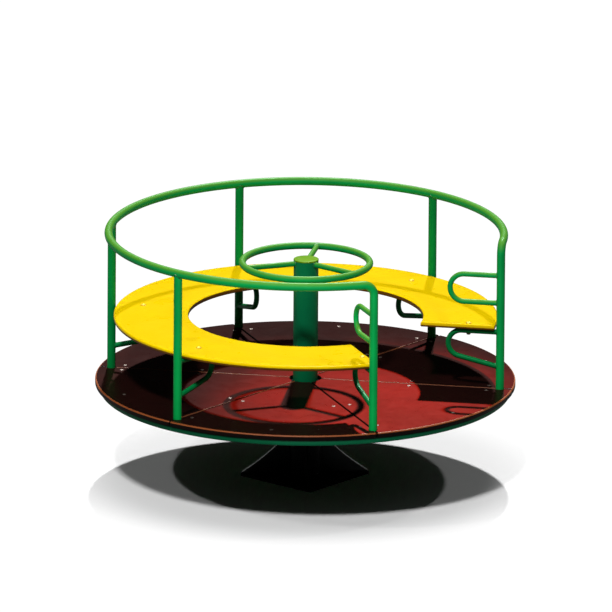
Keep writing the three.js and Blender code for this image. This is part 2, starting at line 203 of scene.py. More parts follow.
def enamel(name, low, high, rough=(0.42, 0.56), peel=0.3, coat=0.0, spec=0.3, tint=(0.2, 1.0, 0.5, 1.0), top_highlight=None, overhang_shade=None):
    """Stoved powder paint on steel tube: orange peel, a little unevenness, and, when asked for, a yellower green on
    its upward faces, a painted highlight for the light from above.
    """
    m = Mat(name)
    broad = m.noise(5.0, 4.0, 0.55)
    base = m.mix(m.remap(broad, 0.35, 0.65, 0.0, 1.0, True), low, high)
    # painted highlight: faces turned upwards are mixed towards a yellower green, standing in for the light falling on
    # them
    if top_highlight:
        sep = m.node("ShaderNodeSeparateXYZ")
        m.link(m.c.outputs["Normal"], sep.inputs[0])
        base = m.mix(m.remap(sep.outputs["Z"], 0.1, 0.85, 0.0, 1.0, True), base, top_highlight)
    if overhang_shade:
        # painted shade above a height, where the deck's overhang shades the ring, with a ragged lower edge
        sep = m.node("ShaderNodeSeparateXYZ")
        m.link(m.c.outputs["Object"], sep.inputs[0])
        ragged = m.math("ADD", sep.outputs["Z"], m.math("MULTIPLY", m.noise(24.0, 4.0, 0.6), 0.003))
        base = m.mix(m.remap(ragged, (overhang_shade[0] + 1.5) * MM, (overhang_shade[1] + 1.5) * MM, 0.0, 1.0, True), base, overhang_shade[2])
    m.colour(base)
    smear = m.noise(28.0, 5.0, 0.62, distort=0.6)
    m.rough(m.remap(smear, 0.3, 0.72, rough[0], rough[1]))
    m.bump(
        (m.noise(420.0, 2.0, 0.5), 0.00022, peel),
        (m.noise(60.0, 3.0, 0.5), 0.0004, 0.10),
    )
    m.set(Metallic=0.0, Specular_IOR_Level=spec, IOR=1.5, Coat_Weight=coat, Coat_Roughness=0.22)
    m.set(Specular_Tint=tint)
    return m.m


# the yellower green on this paint's upward faces is a painted highlight
GREEN = enamel("green_enamel", lin(0, 134, 60), lin(0, 146, 65), top_highlight=lin(74, 138, 32))
GREEN_SHADE = enamel("green_enamel_shaded", lin(0, 112, 54), lin(0, 124, 60))
# painted shade: the ring's green is darker than the tubes' green for the shade under the deck, and darker still at its
# top, under the overhang
GREEN_RING_SHADED = enamel("green_enamel_ring_shaded", lin(6, 92, 58), lin(10, 100, 64), overhang_shade=(331.0, 336.0, lin(7, 20, 14)))
GREEN_COLUMN = enamel("green_enamel_column", lin(2, 108, 66), lin(6, 118, 72))
# painted highlight: the cap is a yellower, lime green than the tubes, standing in for the light on its top
GREEN_CAP_LIT = enamel("green_enamel_cap_lit", lin(94, 143, 6), lin(104, 149, 10), (0.3, 0.4), spec=0.15, tint=(1.0, 1.0, 0.3, 1.0))
DARK = enamel("dark_enamel", lin(5, 6, 6), lin(11, 13, 12), (0.42, 0.58), 0.4, 0.0, 0.2, (1.0, 1.0, 1.0, 1.0))
# a light grey for edges that catch the light: a painted highlight
DARK_EDGE_LIT = enamel("dark_enamel_edge_lit", lin(120, 124, 122), lin(150, 152, 150), (0.4, 0.55), 0.3, 0.0, 0.3, (1.0, 1.0, 1.0, 1.0))


def weld_paint():
    m = Mat("green_weld")
    broad = m.noise(40.0, 4.0, 0.6)
    m.colour(m.mix(broad, lin(2, 104, 48), lin(10, 128, 60)))
    m.rough(m.remap(m.noise(220.0, 3.0, 0.6), 0.3, 0.7, 0.26, 0.42))
    m.bump((m.noise(900.0, 2.0, 0.5), 0.0003, 0.4))
    m.set(Specular_IOR_Level=0.5, Coat_Weight=0.25, Coat_Roughness=0.2)
    return m.m


WELD = weld_paint()


def dark_weld():
    m = Mat("dark_weld")
    m.colour(m.mix(m.noise(60.0, 4.0, 0.6), lin(8, 10, 9), lin(20, 22, 20)))
    m.rough(m.remap(m.noise(220.0, 3.0, 0.6), 0.3, 0.7, 0.4, 0.6))
    m.bump((m.noise(900.0, 2.0, 0.5), 0.0003, 0.4))
    m.set(Specular_IOR_Level=0.4)
    return m.m


DARK_WELD = dark_weld()


def deck_film():
    """Brown-red phenolic film on birch plywood, with the veneer's grain just showing through it."""
    m = Mat("deck_film")
    cloud = m.noise(3.2, 5.0, 0.6, distort=0.4)
    grain = m.noise(9.0, 6.0, 0.66, vector=m.scaled(1.0, 9.0, 1.0), distort=0.25)
    base = m.mix(m.remap(cloud, 0.32, 0.68, 0.0, 1.0, True), lin(51, 25, 22), lin(61, 28, 25))
    base = m.mix(m.remap(grain, 0.5, 0.78, 0.0, 0.3, True), base, lin(40, 18, 16))
    speck = m.remap(m.cells(260.0), 0.0, 0.16, 0.08, 0.0)
    base = m.mix(speck, base, lin(66, 32, 27))
    m.colour(base)
    scuff = m.noise(14.0, 6.0, 0.7, distort=1.2)
    m.rough(m.remap(scuff, 0.35, 0.7, 0.27, 0.35))
    m.bump(
        (grain, 0.0002, 0.05),
        (m.noise(520.0, 2.0, 0.5), 0.0001, 0.08),
    )
    m.set(Specular_IOR_Level=0.03, Coat_Weight=0.0, Specular_Tint=(1.0, 0.72, 0.7, 1.0))
    return m.m


DECK = deck_film()


def ply_edge(name, pale, dark, pitch=1.45, spec=0.3):
    """The cut edge of plywood: thin plies, light and dark in turn, sealed with brown varnish."""
    m = Mat(name)
    sep = m.node("ShaderNodeSeparateXYZ")
    m.link(m.c.outputs["Object"], sep.inputs[0])
    wobble = m.noise(7.0, 2.0, 0.5)
    z = m.math("ADD", sep.outputs["Z"], m.math("MULTIPLY", wobble, 0.0006))
    wave = m.math("SINE", m.math("MULTIPLY", z, 2.0 * math.pi / (2.0 * pitch * MM)), 0.0)
    band = m.remap(wave, -0.45, 0.45, 0.0, 1.0, True)
    fibres = m.noise(60.0, 5.0, 0.7, vector=m.scaled(1.0, 1.0, 12.0))
    base = m.mix(band, dark, pale)
    base = m.mix(m.remap(fibres, 0.35, 0.75, 0.0, 0.5), base, dark)
    m.colour(base)
    m.rough(m.remap(fibres, 0.3, 0.7, 0.35, 0.55))
    m.bump((band, 0.0003, 0.25), (fibres, 0.0003, 0.3))
    m.set(Specular_IOR_Level=spec)
    return m.m


DECK_EDGE = ply_edge("deck_edge", lin(30, 15, 11), lin(10, 6, 5), spec=0.1)
DECK_CHAMFER = ply_edge("deck_chamfer", lin(172, 94, 46), lin(146, 76, 38))
DECK_SEAM = ply_edge("deck_seam", lin(156, 92, 58), lin(116, 66, 42))
# near-black joint edges: painted shade down in a gap
DECK_JOINT_SHADE = ply_edge("deck_joint_shade", lin(20, 12, 10), lin(9, 6, 5), spec=0.05)


def seat_board():
    """Through-coloured yellow board with a close satin grain and light rubbing on top."""
    m = Mat("seat_yellow")
    cloud = m.noise(4.0, 4.0, 0.55)
    base = m.mix(m.remap(cloud, 0.3, 0.7, 0.0, 1.0, True), lin(212, 178, 0), lin(217, 183, 0))
    speck = m.remap(m.cells(210.0), 0.0, 0.14, 0.06, 0.0)
    base = m.mix(speck, base, lin(206, 170, 2))
    m.colour(base)
    rub = m.noise(11.0, 6.0, 0.68, distort=1.0)
    m.rough(m.remap(rub, 0.35, 0.7, 0.26, 0.40))
    m.bump(
        (m.noise(650.0, 2.0, 0.5), 0.00018, 0.28),
        (m.noise(34.0, 3.0, 0.5), 0.0004, 0.08),
    )
    m.set(Specular_IOR_Level=0.05, Coat_Weight=0.0, Specular_Tint=(1.0, 0.85, 0.1, 1.0))
    return m.m


YELLOW = seat_board()


def yellow_edge(name, painted):
    """The board's routed edge, with fine tool marks along it; its brown is painted shade, for the edge turned away
    from the light. painted carries the face colour half way down.
    """
    m = Mat(name)
    marks = m.noise(26.0, 4.0, 0.6, vector=m.scaled(1.0, 1.0, 26.0))
    base = m.mix(m.remap(marks, 0.35, 0.7, 0.0, 1.0), lin(104, 66, 6), lin(78, 46, 8))
    if painted:
        sep = m.node("ShaderNodeSeparateXYZ")
        m.link(m.c.outputs["Object"], sep.inputs[0])
        base = m.mix(m.remap(sep.outputs["Z"], (SEAT_TOP - 11.5) * MM, (SEAT_TOP - 9.5) * MM, 0.0, 1.0, True), base, lin(206, 172, 0))
    m.colour(base)
    m.rough(m.remap(marks, 0.3, 0.7, 0.3, 0.48))
    m.bump((marks, 0.0003, 0.2))
    m.set(Specular_IOR_Level=0.12)
    return m.m


YELLOW_EDGE_SHADED = yellow_edge("seat_yellow_edge_shaded", False)
YELLOW_END_SHADED = yellow_edge("seat_yellow_end_shaded", True)


def steel(name, low, high, rough, rings=False, dull=0.0):
    m = Mat(name)
    cloud = m.noise(70.0, 4.0, 0.6)
    m.colour(m.mix(cloud, low, high))
    fine = m.noise(420.0, 3.0, 0.6, vector=m.scaled(1.0, 1.0, 7.0) if rings else None)
    m.rough(m.remap(fine, 0.3, 0.7, rough[0], rough[1]))
    m.bump((fine, 0.00008, 0.35))
    m.set(Metallic=1.0 - dull)
    return m.m


ZINC = steel("zinc_plated", lin(176, 178, 180), lin(206, 208, 206), (0.24, 0.4))
GOLD = steel("gold_zinc", lin(196, 156, 40), lin(220, 182, 66), (0.5, 0.66), dull=0.35)
SCREW = steel("screw_dull", lin(150, 138, 130), lin(186, 172, 162), (0.5, 0.68), dull=0.3)
GROUND = steel("ground_steel", lin(158, 160, 164), lin(190, 192, 194), (0.14, 0.28), True)
TURNED = steel("turned_steel", lin(120, 122, 126), lin(156, 158, 160), (0.26, 0.42), True)


def rubber():
    m = Mat("seal_rubber")
    m.colour(m.mix(m.noise(50.0, 4.0, 0.6), lin(16, 16, 16), lin(30, 30, 29)))
    m.rough(m.remap(m.noise(160.0, 3.0, 0.6), 0.3, 0.7, 0.6, 0.82))
    m.bump((m.noise(700.0, 2.0, 0.5), 0.0002, 0.5))
    m.set(Specular_IOR_Level=0.3)
    return m.m


RUBBER = rubber()


# =====================================================================
# Mesh helpers. They work in millimetres; piece() makes metres.
# =====================================================================
class Shape:
    """Vertices, faces and a material number for each face."""

    def __init__(self):
        self.v, self.f, self.k = [], [], []

    def add(self, verts, faces, kind=0):
        n = len(self.v)
        self.v.extend(tuple(p) for p in verts)
        for i, face in enumerate(faces):
            self.f.append(tuple(n + j for j in face))
            self.k.append(kind if isinstance(kind, int) else kind[i])
        return self

    def merge(self, other):
        return self.add(other.v, other.f, list(other.k))

    def turned(self, degrees):
        c, s = math.cos(rad(degrees)), math.sin(rad(degrees))
        out = Shape()
        out.v = [(x * c - y * s, x * s + y * c, z) for x, y, z in self.v]
        out.f, out.k = list(self.f), list(self.k)
        return out

    def moved(self, dx, dy, dz):
        out = Shape()
        out.v = [(x + dx, y + dy, z + dz) for x, y, z in self.v]
        out.f, out.k = list(self.f), list(self.k)
        return out


def piece(name, shape, materials, body, nodes=(), crease=38.0):
    mesh = bpy.data.meshes.new(name)
    mesh.from_pydata([(x * MM, y * MM, z * MM) for x, y, z in shape.v], [], shape.f)
    if not isinstance(materials, (list, tuple)):
        materials = [materials]
    for m in materials:
        mesh.materials.append(m)
    mesh.polygons.foreach_set("material_index", shape.k)
    bm = bmesh.new()
    bm.from_mesh(mesh)
    bmesh.ops.remove_doubles(bm, verts=bm.verts, dist=2e-7)
    bmesh.ops.recalc_face_normals(bm, faces=bm.faces)
    bm.to_mesh(mesh)
    bm.free()
    mesh.shade_smooth()
    mesh.set_sharp_from_angle(angle=rad(crease))
    mesh.update()
    o = bpy.data.objects.new(name, mesh)
    bpy.context.scene.collection.objects.link(o)
    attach(o, body)
    if nodes:
        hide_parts(*nodes)
    return o


def rounded(profile, radii, steps=4):
    """A closed [r, z] profile with its corners rounded. radii is one number or one for each corner."""
    n = len(profile)
    if isinstance(radii, (int, float)):
        radii = [radii] * n
    out = []
    for i in range(n):
        p = Vector(profile[i])
        a = Vector(profile[i - 1]) - p
        b = Vector(profile[(i + 1) % n]) - p
        la, lb = a.length, b.length
        if radii[i] <= 0 or la < 1e-6 or lb < 1e-6:
            out.append(tuple(p))
            continue
        a.normalize()
        b.normalize()
        half = a.angle(b) / 2.0
        if half > rad(86.0):
            out.append(tuple(p))
            continue
        r = min(radii[i], 0.42 * min(la, lb) * math.tan(half))
        t = r / math.tan(half)
        centre = p + (a + b).normalized() * (r / math.sin(half))
        s, e = p + a * t - centre, p + b * t - centre
        turn = s.angle_signed(e)
        for k in range(steps + 1):
            ang = -turn * k / steps
            c, w = math.cos(ang), math.sin(ang)
            out.append((centre.x + s.x * c - s.y * w, centre.y + s.x * w + s.y * c))
    return out


def revolve(profile, n=128, kinds=None):
    """A closed [r, z] profile turned about Z. Points at r = 0 become one vertex each."""
    sh = Shape()
    rows = []
    for r, z in profile:
        if abs(r) < 1e-6:
            rows.append([len(sh.v)])
            sh.v.append((0.0, 0.0, z))
        else:
            rows.append(list(range(len(sh.v), len(sh.v) + n)))
            sh.v.extend(
                (r * math.cos(2 * math.pi * i / n), r * math.sin(2 * math.pi * i / n), z)
                for i in range(n)
            )
    m = len(rows)
    for j in range(m):
        a, b = rows[j], rows[(j + 1) % m]
        kind = kinds[j] if kinds else 0
        if len(a) == 1 and len(b) == 1:
            continue
        for i in range(n):
            k = (i + 1) % n
            if len(a) == 1:
                face = (a[0], b[k], b[i])
            elif len(b) == 1:
                face = (a[i], a[k], b[0])
            else:
                face = (a[i], a[k], b[k], b[i])
            sh.f.append(face)
            sh.k.append(kind)
    return sh


def rings(rows, closed=False, cap=True, kind=0):
    """Faces between rows of points, all with the same count, joined round. closed joins the last row to the first."""
    sh = Shape()
    n = len(rows[0])
    for row in rows:
        sh.v.extend(tuple(p) for p in row)
    m = len(rows)
    for j in range(m if closed else m - 1):
        a, b = j * n, ((j + 1) % m) * n
        for i in range(n):
            k = (i + 1) % n
            sh.f.append((a + i, a + k, b + k, b + i))
            sh.k.append(kind)
    if cap and not closed:
        sh.f.append(tuple(range(n - 1, -1, -1)))
        sh.f.append(tuple(range((m - 1) * n, m * n)))
        sh.k += [kind, kind]
    return sh


def bead(loop, r=2.1, pitch=2.3, sides=8, seed=0.0):
    """A rippled weld bead along a closed loop of points."""
    pts = [Vector(p) for p in loop]
    n = len(pts)
    lengths = [0.0]
    for i in range(n):
        lengths.append(lengths[-1] + (pts[(i + 1) % n] - pts[i]).length)
    total = lengths[-1]
    count = max(24, int(total / 0.8))
    ripples = max(6, round(total / pitch))
    path = []
    j = 0
    for i in range(count):
        s = total * i / count
        while lengths[j + 1] < s:
            j += 1
        t = (s - lengths[j]) / max(1e-9, lengths[j + 1] - lengths[j])
        path.append(pts[j].lerp(pts[(j + 1) % n], t))
    centre = sum(path, Vector()) / count
    rows = []
    for i, p in enumerate(path):
        tangent = (path[(i + 1) % count] - path[i - 1]).normalized()
        out = p - centre
        out = (out - tangent * out.dot(tangent)).normalized()
        up = tangent.cross(out)
        ph = 2 * math.pi * ripples * i / count
        wob = 0.10 * math.sin(2 * math.pi * 3 * i / count + seed) + 0.06 * math.sin(2 * math.pi * 7 * i / count + 2 * seed)
        rr = r * (1.0 + 0.11 * (1 - abs(math.sin(ph / 2))) + wob)
        rows.append(
            [
                p + out * (rr * math.cos(2 * math.pi * q / sides)) + up * (rr * math.sin(2 * math.pi * q / sides))
                for q in range(sides)
            ]
        )
    return rings(rows, closed=True)


# ---------- outlines and boards ----------
def offset(outline, d, share=None):
    """A counter-clockwise outline moved inwards by d, or by share of it at each point."""
    n = len(outline)
    out = []
    for i in range(n):
        p = Vector(outline[i])
        a = (p - Vector(outline[i - 1])).normalized()
        b = (Vector(outline[(i + 1) % n]) - p).normalized()
        na, nb = Vector((-a.y, a.x)), Vector((-b.y, b.x))
        m = na + nb
        if m.length < 1e-6:
            m = na
        m.normalize()
        out.append(tuple(p + m * (d * (share[i] if share else 1.0) / max(0.35, m.dot(na)))))
    return out


def board(outline, z0, z1, r_top, r_low, steps=6, edge_kind=1, share=None):
    """A flat board with its edge rounded: r_top and r_low are the radii, or a chamfer when steps is 1."""
    levels = []
    for k in range(steps + 1):
        t = math.pi / 2 * k / steps
        levels.append((r_low * (1 - math.sin(t)), z0 + r_low * (1 - math.cos(t))))
    for k in range(steps + 1):
        t = math.pi / 2 * k / steps
        levels.append((r_top * (1 - math.cos(t)), z1 - r_top * (1 - math.sin(t))))
    if share:
        levels.append((r_top + 2.0, z1))  # a level margin, so that the rounding doesn't shade the face
    rows = [[(x, y, z) for x, y in offset(outline, d, share)] for d, z in levels]
    sh = rings(rows, cap=True, kind=edge_kind)
    sh.k[-1] = 0
    sh.k[-2] = 0
    return sh


# ---------- tubes in a radial plane, and where they meet an upright ----------
def section_rows(path, r, sides):
    """Rings of a tube whose path lies in the XZ plane."""
    rows = []
    n = len(path)
    for i, (x, z) in enumerate(path):
        a = Vector(path[max(0, i - 1)])
        b = Vector(path[min(n - 1, i + 1)])
        t = (b - a).normalized()
        nx, nz = -t.y, t.x
        rows.append(
            [
                (
                    x + r * math.cos(2 * math.pi * q / sides) * nx,
                    r * math.sin(2 * math.pi * q / sides),
                    z + r * math.cos(2 * math.pi * q / sides) * nz,
                )
                for q in range(sides)
            ]
        )
    return rows


def cope(row, t, post_x, post_r, deeper=0.0):
    """The row's points moved along t (x, z) until they meet the near side of an upright tube."""
    out = []
    for x, y, z in row:
        goal = post_x - math.sqrt(max(0.0, post_r * post_r - y * y)) + deeper
        s = (goal - x) / t[0]
        out.append((x + s * t[0], y, z + s * t[1]))
    return out


def loop_tube(path, r, sides, post_x=POST_R, post_r=TUBE_R):
    """A bent tube that starts and ends on an upright. Returns the tube and its two weld loops."""
    rows = section_rows(path, r, sides)
    t0 = (Vector(path[1]) - Vector(path[0])).normalized()
    t1 = (Vector(path[-1]) - Vector(path[-2])).normalized()
    first = cope(rows[0], t0, post_x, post_r)
    last = cope(rows[-1], t1, post_x, post_r)
    rows[0] = first
    rows[-1] = last
    deep0 = cope(first, t0, post_x, post_r, 1.5)
    deep1 = cope(last, t1, post_x, post_r, 1.5)
    return rings([deep0] + rows + [deep1]), [first, last]


def bracket_path():
    z_top = SEAT_TOP - SEAT_T - GAP - SMALL_R
    z_bend = z_top - BRACKET_BEND
    cx = POST_R - BRACKET_REACH
    pts = []
    n = 26
    for i in range(n + 1):
        a = rad(-90 + BRACKET_SLOPE + (180 - BRACKET_SLOPE) * i / n)
        pts.append((cx - BRACKET_BEND * math.cos(a), z_bend + BRACKET_BEND * math.sin(a)))
    # the strut starts at the upright and rises to the bend
    low = pts[0]
    end_x = POST_R - TUBE_R
    start = (end_x, low[1] - (end_x - low[0]) * math.tan(rad(BRACKET_SLOPE)))
    return [start] + pts + [(end_x, z_top)]


def handle_path():
    zm, hr = (HANDLE_TOP + HANDLE_LOW) / 2, (HANDLE_TOP - HANDLE_LOW) / 2
    cx = POST_R - HANDLE_REACH
    pts = []
    n = 28
    for i in range(n + 1):
        a = rad(-90 + 180 * i / n)
        pts.append((cx - hr * math.cos(a), zm + hr * math.sin(a)))
    end_x = POST_R - TUBE_R
    return [(end_x, HANDLE_LOW)] + pts + [(end_x, HANDLE_TOP)]


def fill_straights(path, step=24.0):
    """Extra rings on the long straight legs, so bump and shading stay even."""
    out = [path[0]]
    for a, b in zip(path, path[1:]):
        d = math.dist(a, b)
        k = max(1, int(d / step))
        for i in range(1, k + 1):
            out.append((a[0] + (b[0] - a[0]) * i / k, a[1] + (b[1] - a[1]) * i / k))
    return out


# =====================================================================
# Guard rail, posts, brackets, handles
# =====================================================================
welds = Shape()
SIDES = 36

# Guard rail: level arc with a bend down into an end post at each side.
rail = []
a0, a1 = POSTS[0], POSTS[5]
deg = lambda mm: math.degrees(mm / POST_R)


def on_ring(angle, z):
    return Vector((POST_R * math.cos(rad(angle)), POST_R * math.sin(rad(angle)), z))


z_low = UNDER + GAP + 0.4
for i in range(16):
    rail.append(on_ring(a0, z_low + (RAIL_Z - BEND_R - z_low) * i / 16))
for i in range(15):
    t = math.pi / 2 * i / 14
    rail.append(on_ring(a0 + deg(BEND_R * (1 - math.cos(t))), RAIL_Z - BEND_R * (1 - math.sin(t))))
s0, s1 = a0 + deg(BEND_R), a1 - deg(BEND_R)
ARC = 240
for i in range(1, ARC):
    rail.append(on_ring(s0 + (s1 - s0) * i / ARC, RAIL_Z))
for i in range(15):
    t = math.pi / 2 * i / 14
    rail.append(on_ring(s1 + deg(BEND_R * math.sin(t)), RAIL_Z - BEND_R * (1 - math.cos(t))))
for i in range(1, 17):
    rail.append(on_ring(a1, RAIL_Z - BEND_R - (RAIL_Z - BEND_R - z_low) * i / 16))

rows = []
n_rail = len(rail)
for i, p in enumerate(rail):
    t = (rail[min(n_rail - 1, i + 1)] - rail[max(0, i - 1)]).normalized()
    out = Vector((p.x, p.y, 0.0)).normalized()
    out = (out - t * out.dot(t)).normalized()
    up = out.cross(t)
    rows.append(
        [
            p + out * ((TUBE_R - 0.03) * math.cos(2 * math.pi * q / SIDES)) + up * ((TUBE_R - 0.03) * math.sin(2 * math.pi * q / SIDES))
            for q in range(SIDES)
        ]
    )
piece("rail_tube", rings(rows), GREEN, "platform", ["guard_rail"])

# The four posts, coped to the rail.
for i, angle in enumerate(POSTS[1:5]):
    levels = [UNDER + GAP + 0.4 + (RAIL_Z - 40 - UNDER) * k / 14 for k in range(15)]
    rr = TUBE_R - 0.03
    rows = []
    for z in levels:
        rows.append(
            [
                (POST_R + rr * math.cos(2 * math.pi * q / SIDES), rr * math.sin(2 * math.pi * q / SIDES), z)
                for q in range(SIDES)
            ]
        )
    top, deep = [], []
    for x, y, z in rows[-1]:
        saddle = RAIL_Z - math.sqrt(max(0.0, TUBE_R * TUBE_R - (x - POST_R) ** 2))
        top.append((x, y, saddle))
        deep.append((POST_R + (x - POST_R) * 0.9, y * 0.9, saddle + 1.6))
    piece("post_tube_%d" % (i + 1), rings(rows + [top, deep]).turned(angle), GREEN, "platform", ["post_%d" % (i + 1)])
    loop = [(x, y, z - 0.4) for x, y, z in top]
    welds.merge(bead(loop, 1.9, seed=i + 0.3).turned(angle))

bracket, bracket_loops = loop_tube(fill_straights(bracket_path()), SMALL_R - 0.02, 28)
handle, handle_loops = loop_tube(fill_straights(handle_path()), SMALL_R - 0.02, 28)
for i, angle in enumerate(POSTS):
    piece("bracket_tube_%d" % (i + 1), bracket.turned(angle), GREEN_SHADE, "platform", ["seat_bracket_%d" % (i + 1)])
    for j, loop in enumerate(bracket_loops):
        welds.merge(bead(loop, 1.8, seed=i * 1.7 + j).turned(angle))
for i, angle in enumerate((POSTS[0], POSTS[5])):
    piece("handle_tube_%d" % (i + 1), handle.turned(angle), GREEN, "platform", ["entry_handle_%d" % (i + 1)])
    for j, loop in enumerate(handle_loops):
        welds.merge(bead(loop, 1.8, seed=i * 2.3 + j + 5).turned(angle))

# =====================================================================
# Bench
# =====================================================================


def bench_section(d, r_top=6.5, r_low=4.5):
    """The bench's section as a closed [r, z] loop, drawn in by d all round, with points spread over its faces."""
    r0, r1 = SEAT_R0 + 0.1 + d, SEAT_R1 - 0.1 - d
    z0, z1 = SEAT_TOP - SEAT_T + d, SEAT_TOP - d
    loop = []
    corners = (
        (r1, z0, -90, max(0.6, r_low - d), -1, 1),
        (r1, z1, 0, max(0.6, r_top - d), -1, -1),
        (r0, z1, 90, max(0.6, r_top - d), 1, -1),
        (r0, z0, 180, max(0.6, r_low - d), 1, 1),
    )
    for i, (cr, cz, start, r, sr, sz) in enumerate(corners):
        for k in range(7):
            a = rad(start + 90 * k / 6)
            loop.append((cr + sr * r + r * math.cos(a), cz + sz * r + r * math.sin(a)))
        nr, nz, _, rn, tr, tz = corners[(i + 1) % 4]
        n = 12 if i % 2 else 3
        e = loop[-1]
        a = rad(corners[(i + 1) % 4][2])
        f = (nr + tr * rn + rn * math.cos(a), nz + tz * rn + rn * math.sin(a))
        for k in range(1, n):
            loop.append((e[0] + (f[0] - e[0]) * k / n, e[1] + (f[1] - e[1]) * k / n))
    return loop


def bench_row(side, past, share, loop):
    """One section of the bench. share runs from 1 at an end, past that far beyond its post, to 0 at the back."""
    out = []
    for r, z in loop:
        a = rad(90.0 + side * share * (150.0 + math.degrees(math.asin(past / r))))
        out.append((r * math.cos(a), r * math.sin(a), z))
    return out


END_R = 3.5
rows = []
whole = bench_section(0.0)
for side in (-1, 1):
    half = []
    for k in range(5):
        t = math.pi / 2 * k / 4
        half.append(bench_row(side, SEAT_END - 0.1 - END_R * (1 - math.cos(t)), 1.0, bench_section(END_R * (1 - math.sin(t)))))
    half += [bench_row(side, SEAT_END - 0.1 - END_R, 1.0 - k / 75.0, whole) for k in range(1, 75)]
    rows = rows + [bench_row(1, SEAT_END - 0.1 - END_R, 0.0, whole)] + half[::-1] if side == 1 else half
seat = rings(rows, kind=0)
per = len(whole)
flat_from = [z for _, z in whole]
for i in range(len(seat.f) - 2):
    k = i % per
    za, zb = flat_from[k], flat_from[(k + 1) % per]
    # the face colour runs over the rounding and down the outer edge; the rest of the edge is brown, a painted shade
    rim = whole[k][0] > (SEAT_R0 + SEAT_R1) / 2
    down_to = SEAT_TOP - (11.0 if rim else 3.5)
    seat.k[i] = 0 if za > down_to and zb > down_to else 1
seat.k[-1] = seat.k[-2] = 2
# the ends get the same painted shade on their lower half
for i in list(range(5 * per)) + list(range(len(seat.f) - 2 - 5 * per, len(seat.f) - 2)):
    seat.k[i] = 2 if seat.k[i] == 1 else seat.k[i]
piece("bench_board", seat, [YELLOW, YELLOW_EDGE_SHADED, YELLOW_END_SHADED], "platform", ["seat_board"], crease=50.0)

# Domed coach bolts with a washer, and a nut under each bracket.
bolt_profile = [
    (0.0, SEAT_TOP - 42 + 0.2),
    (3.6, SEAT_TOP - 42 + 0.2),
    (4.0, SEAT_TOP - 41),
    (4.0, SEAT_TOP + GAP),
    (9.9, SEAT_TOP + GAP),
    (9.95, SEAT_TOP + 0.8),
    (9.3, SEAT_TOP + 1.7),
    (7.9, SEAT_TOP + 2.9),
    (5.9, SEAT_TOP + 3.9),
    (3.4, SEAT_TOP + 4.5),
    (0.0, SEAT_TOP + 4.75),
]
bolt = revolve(bolt_profile, 40)
# hexagon nut below the tube, over the thread
nut_rows = []
for z, r in ((554.6, 6.6), (554.9, 7.4), (557.6, 7.4), (557.9, 7.1)):
    nut_rows.append(
        [
            (
                min(r, 6.5 / max(0.2, math.cos((2 * math.pi * k / 48) % (math.pi / 3) - math.pi / 6))) * math.cos(2 * math.pi * k / 48),
                min(r, 6.5 / max(0.2, math.cos((2 * math.pi * k / 48) % (math.pi / 3) - math.pi / 6))) * math.sin(2 * math.pi * k / 48),
                z,
            )
            for k in range(48)
        ]
    )
bolt.merge(rings(nut_rows, kind=1))
bolt = bolt.moved(SEAT_BOLT_R, 0, 0)
for i, angle in enumerate(POSTS):
    piece("bench_bolt_%d" % (i + 1), bolt.turned(angle), [GOLD, DARK_WELD], "platform", ["seat_bolt_%d" % (i + 1)])

# =====================================================================
# Floor panels and their screws
# =====================================================================
s = SEAM / 2


def seam_point(r, side):
    along = math.sqrt(r * r - s * s)
    c, d = math.cos(rad(30)), math.sin(rad(30))
    return (along * c + s * d, side * (along * d - s * c))


def seam_local(r, off, side):
    """A point r out along the seam's radius and off to the panel's side of it."""
    c, d = math.cos(rad(30)), math.sin(rad(30))
    return (r * c + off * d, side * (r * d - off * c))


NOTCH = TUBE_R + 0.8
reach = math.sqrt(NOTCH * NOTCH - s * s)
panel = []
CORNER = 6.0  # the panels' outer corners are eased, so that each joint opens into a small notch at the rim
rim_along = math.sqrt(FLOOR_R**2 - (s + CORNER) ** 2)
corner_arc = []
for k in range(7):
    t = math.pi / 2 * k / 6
    corner_arc.append((rim_along - CORNER * (1 - math.cos(t)), s + CORNER * (1 - math.sin(t))))
ox, oy = seam_local(corner_arc[0][0], corner_arc[0][1], 1)
oa = math.atan2(oy, ox)
for i in range(61):
    a = -oa + 2 * oa * i / 60
    panel.append((FLOOR_R * math.cos(a), FLOOR_R * math.sin(a)))
notch_from = math.atan2(s, reach)
notch = []
for i in range(19):
    a = notch_from + (math.pi - 2 * notch_from) * i / 18
    notch.append((POST_R + NOTCH * math.cos(a), NOTCH * math.sin(a)))
panel += [seam_local(r, off, 1) for r, off in corner_arc[1:]]
panel += [seam_local(r, off, 1) for r, off in notch]
steps = [POST_R - reach - 3.0] + [(POST_R - reach) - (POST_R - reach - 66.0) * i / 10 for i in range(1, 11)]
panel += [seam_local(r, s, 1) for r in steps]
ix, iy = seam_point(FLOOR_BORE_R, 1)
ia = math.atan2(iy, ix)
for i in range(15):
    a = ia - 2 * ia * i / 14
    panel.append((FLOOR_BORE_R * math.cos(a), FLOOR_BORE_R * math.sin(a)))
panel += [seam_local(r, s, -1) for r in reversed(steps)]
panel += [seam_local(r, off, -1) for r, off in reversed(notch)]
panel += [seam_local(r, off, -1) for r, off in reversed(corner_arc[1:])]
n_side = len(panel)
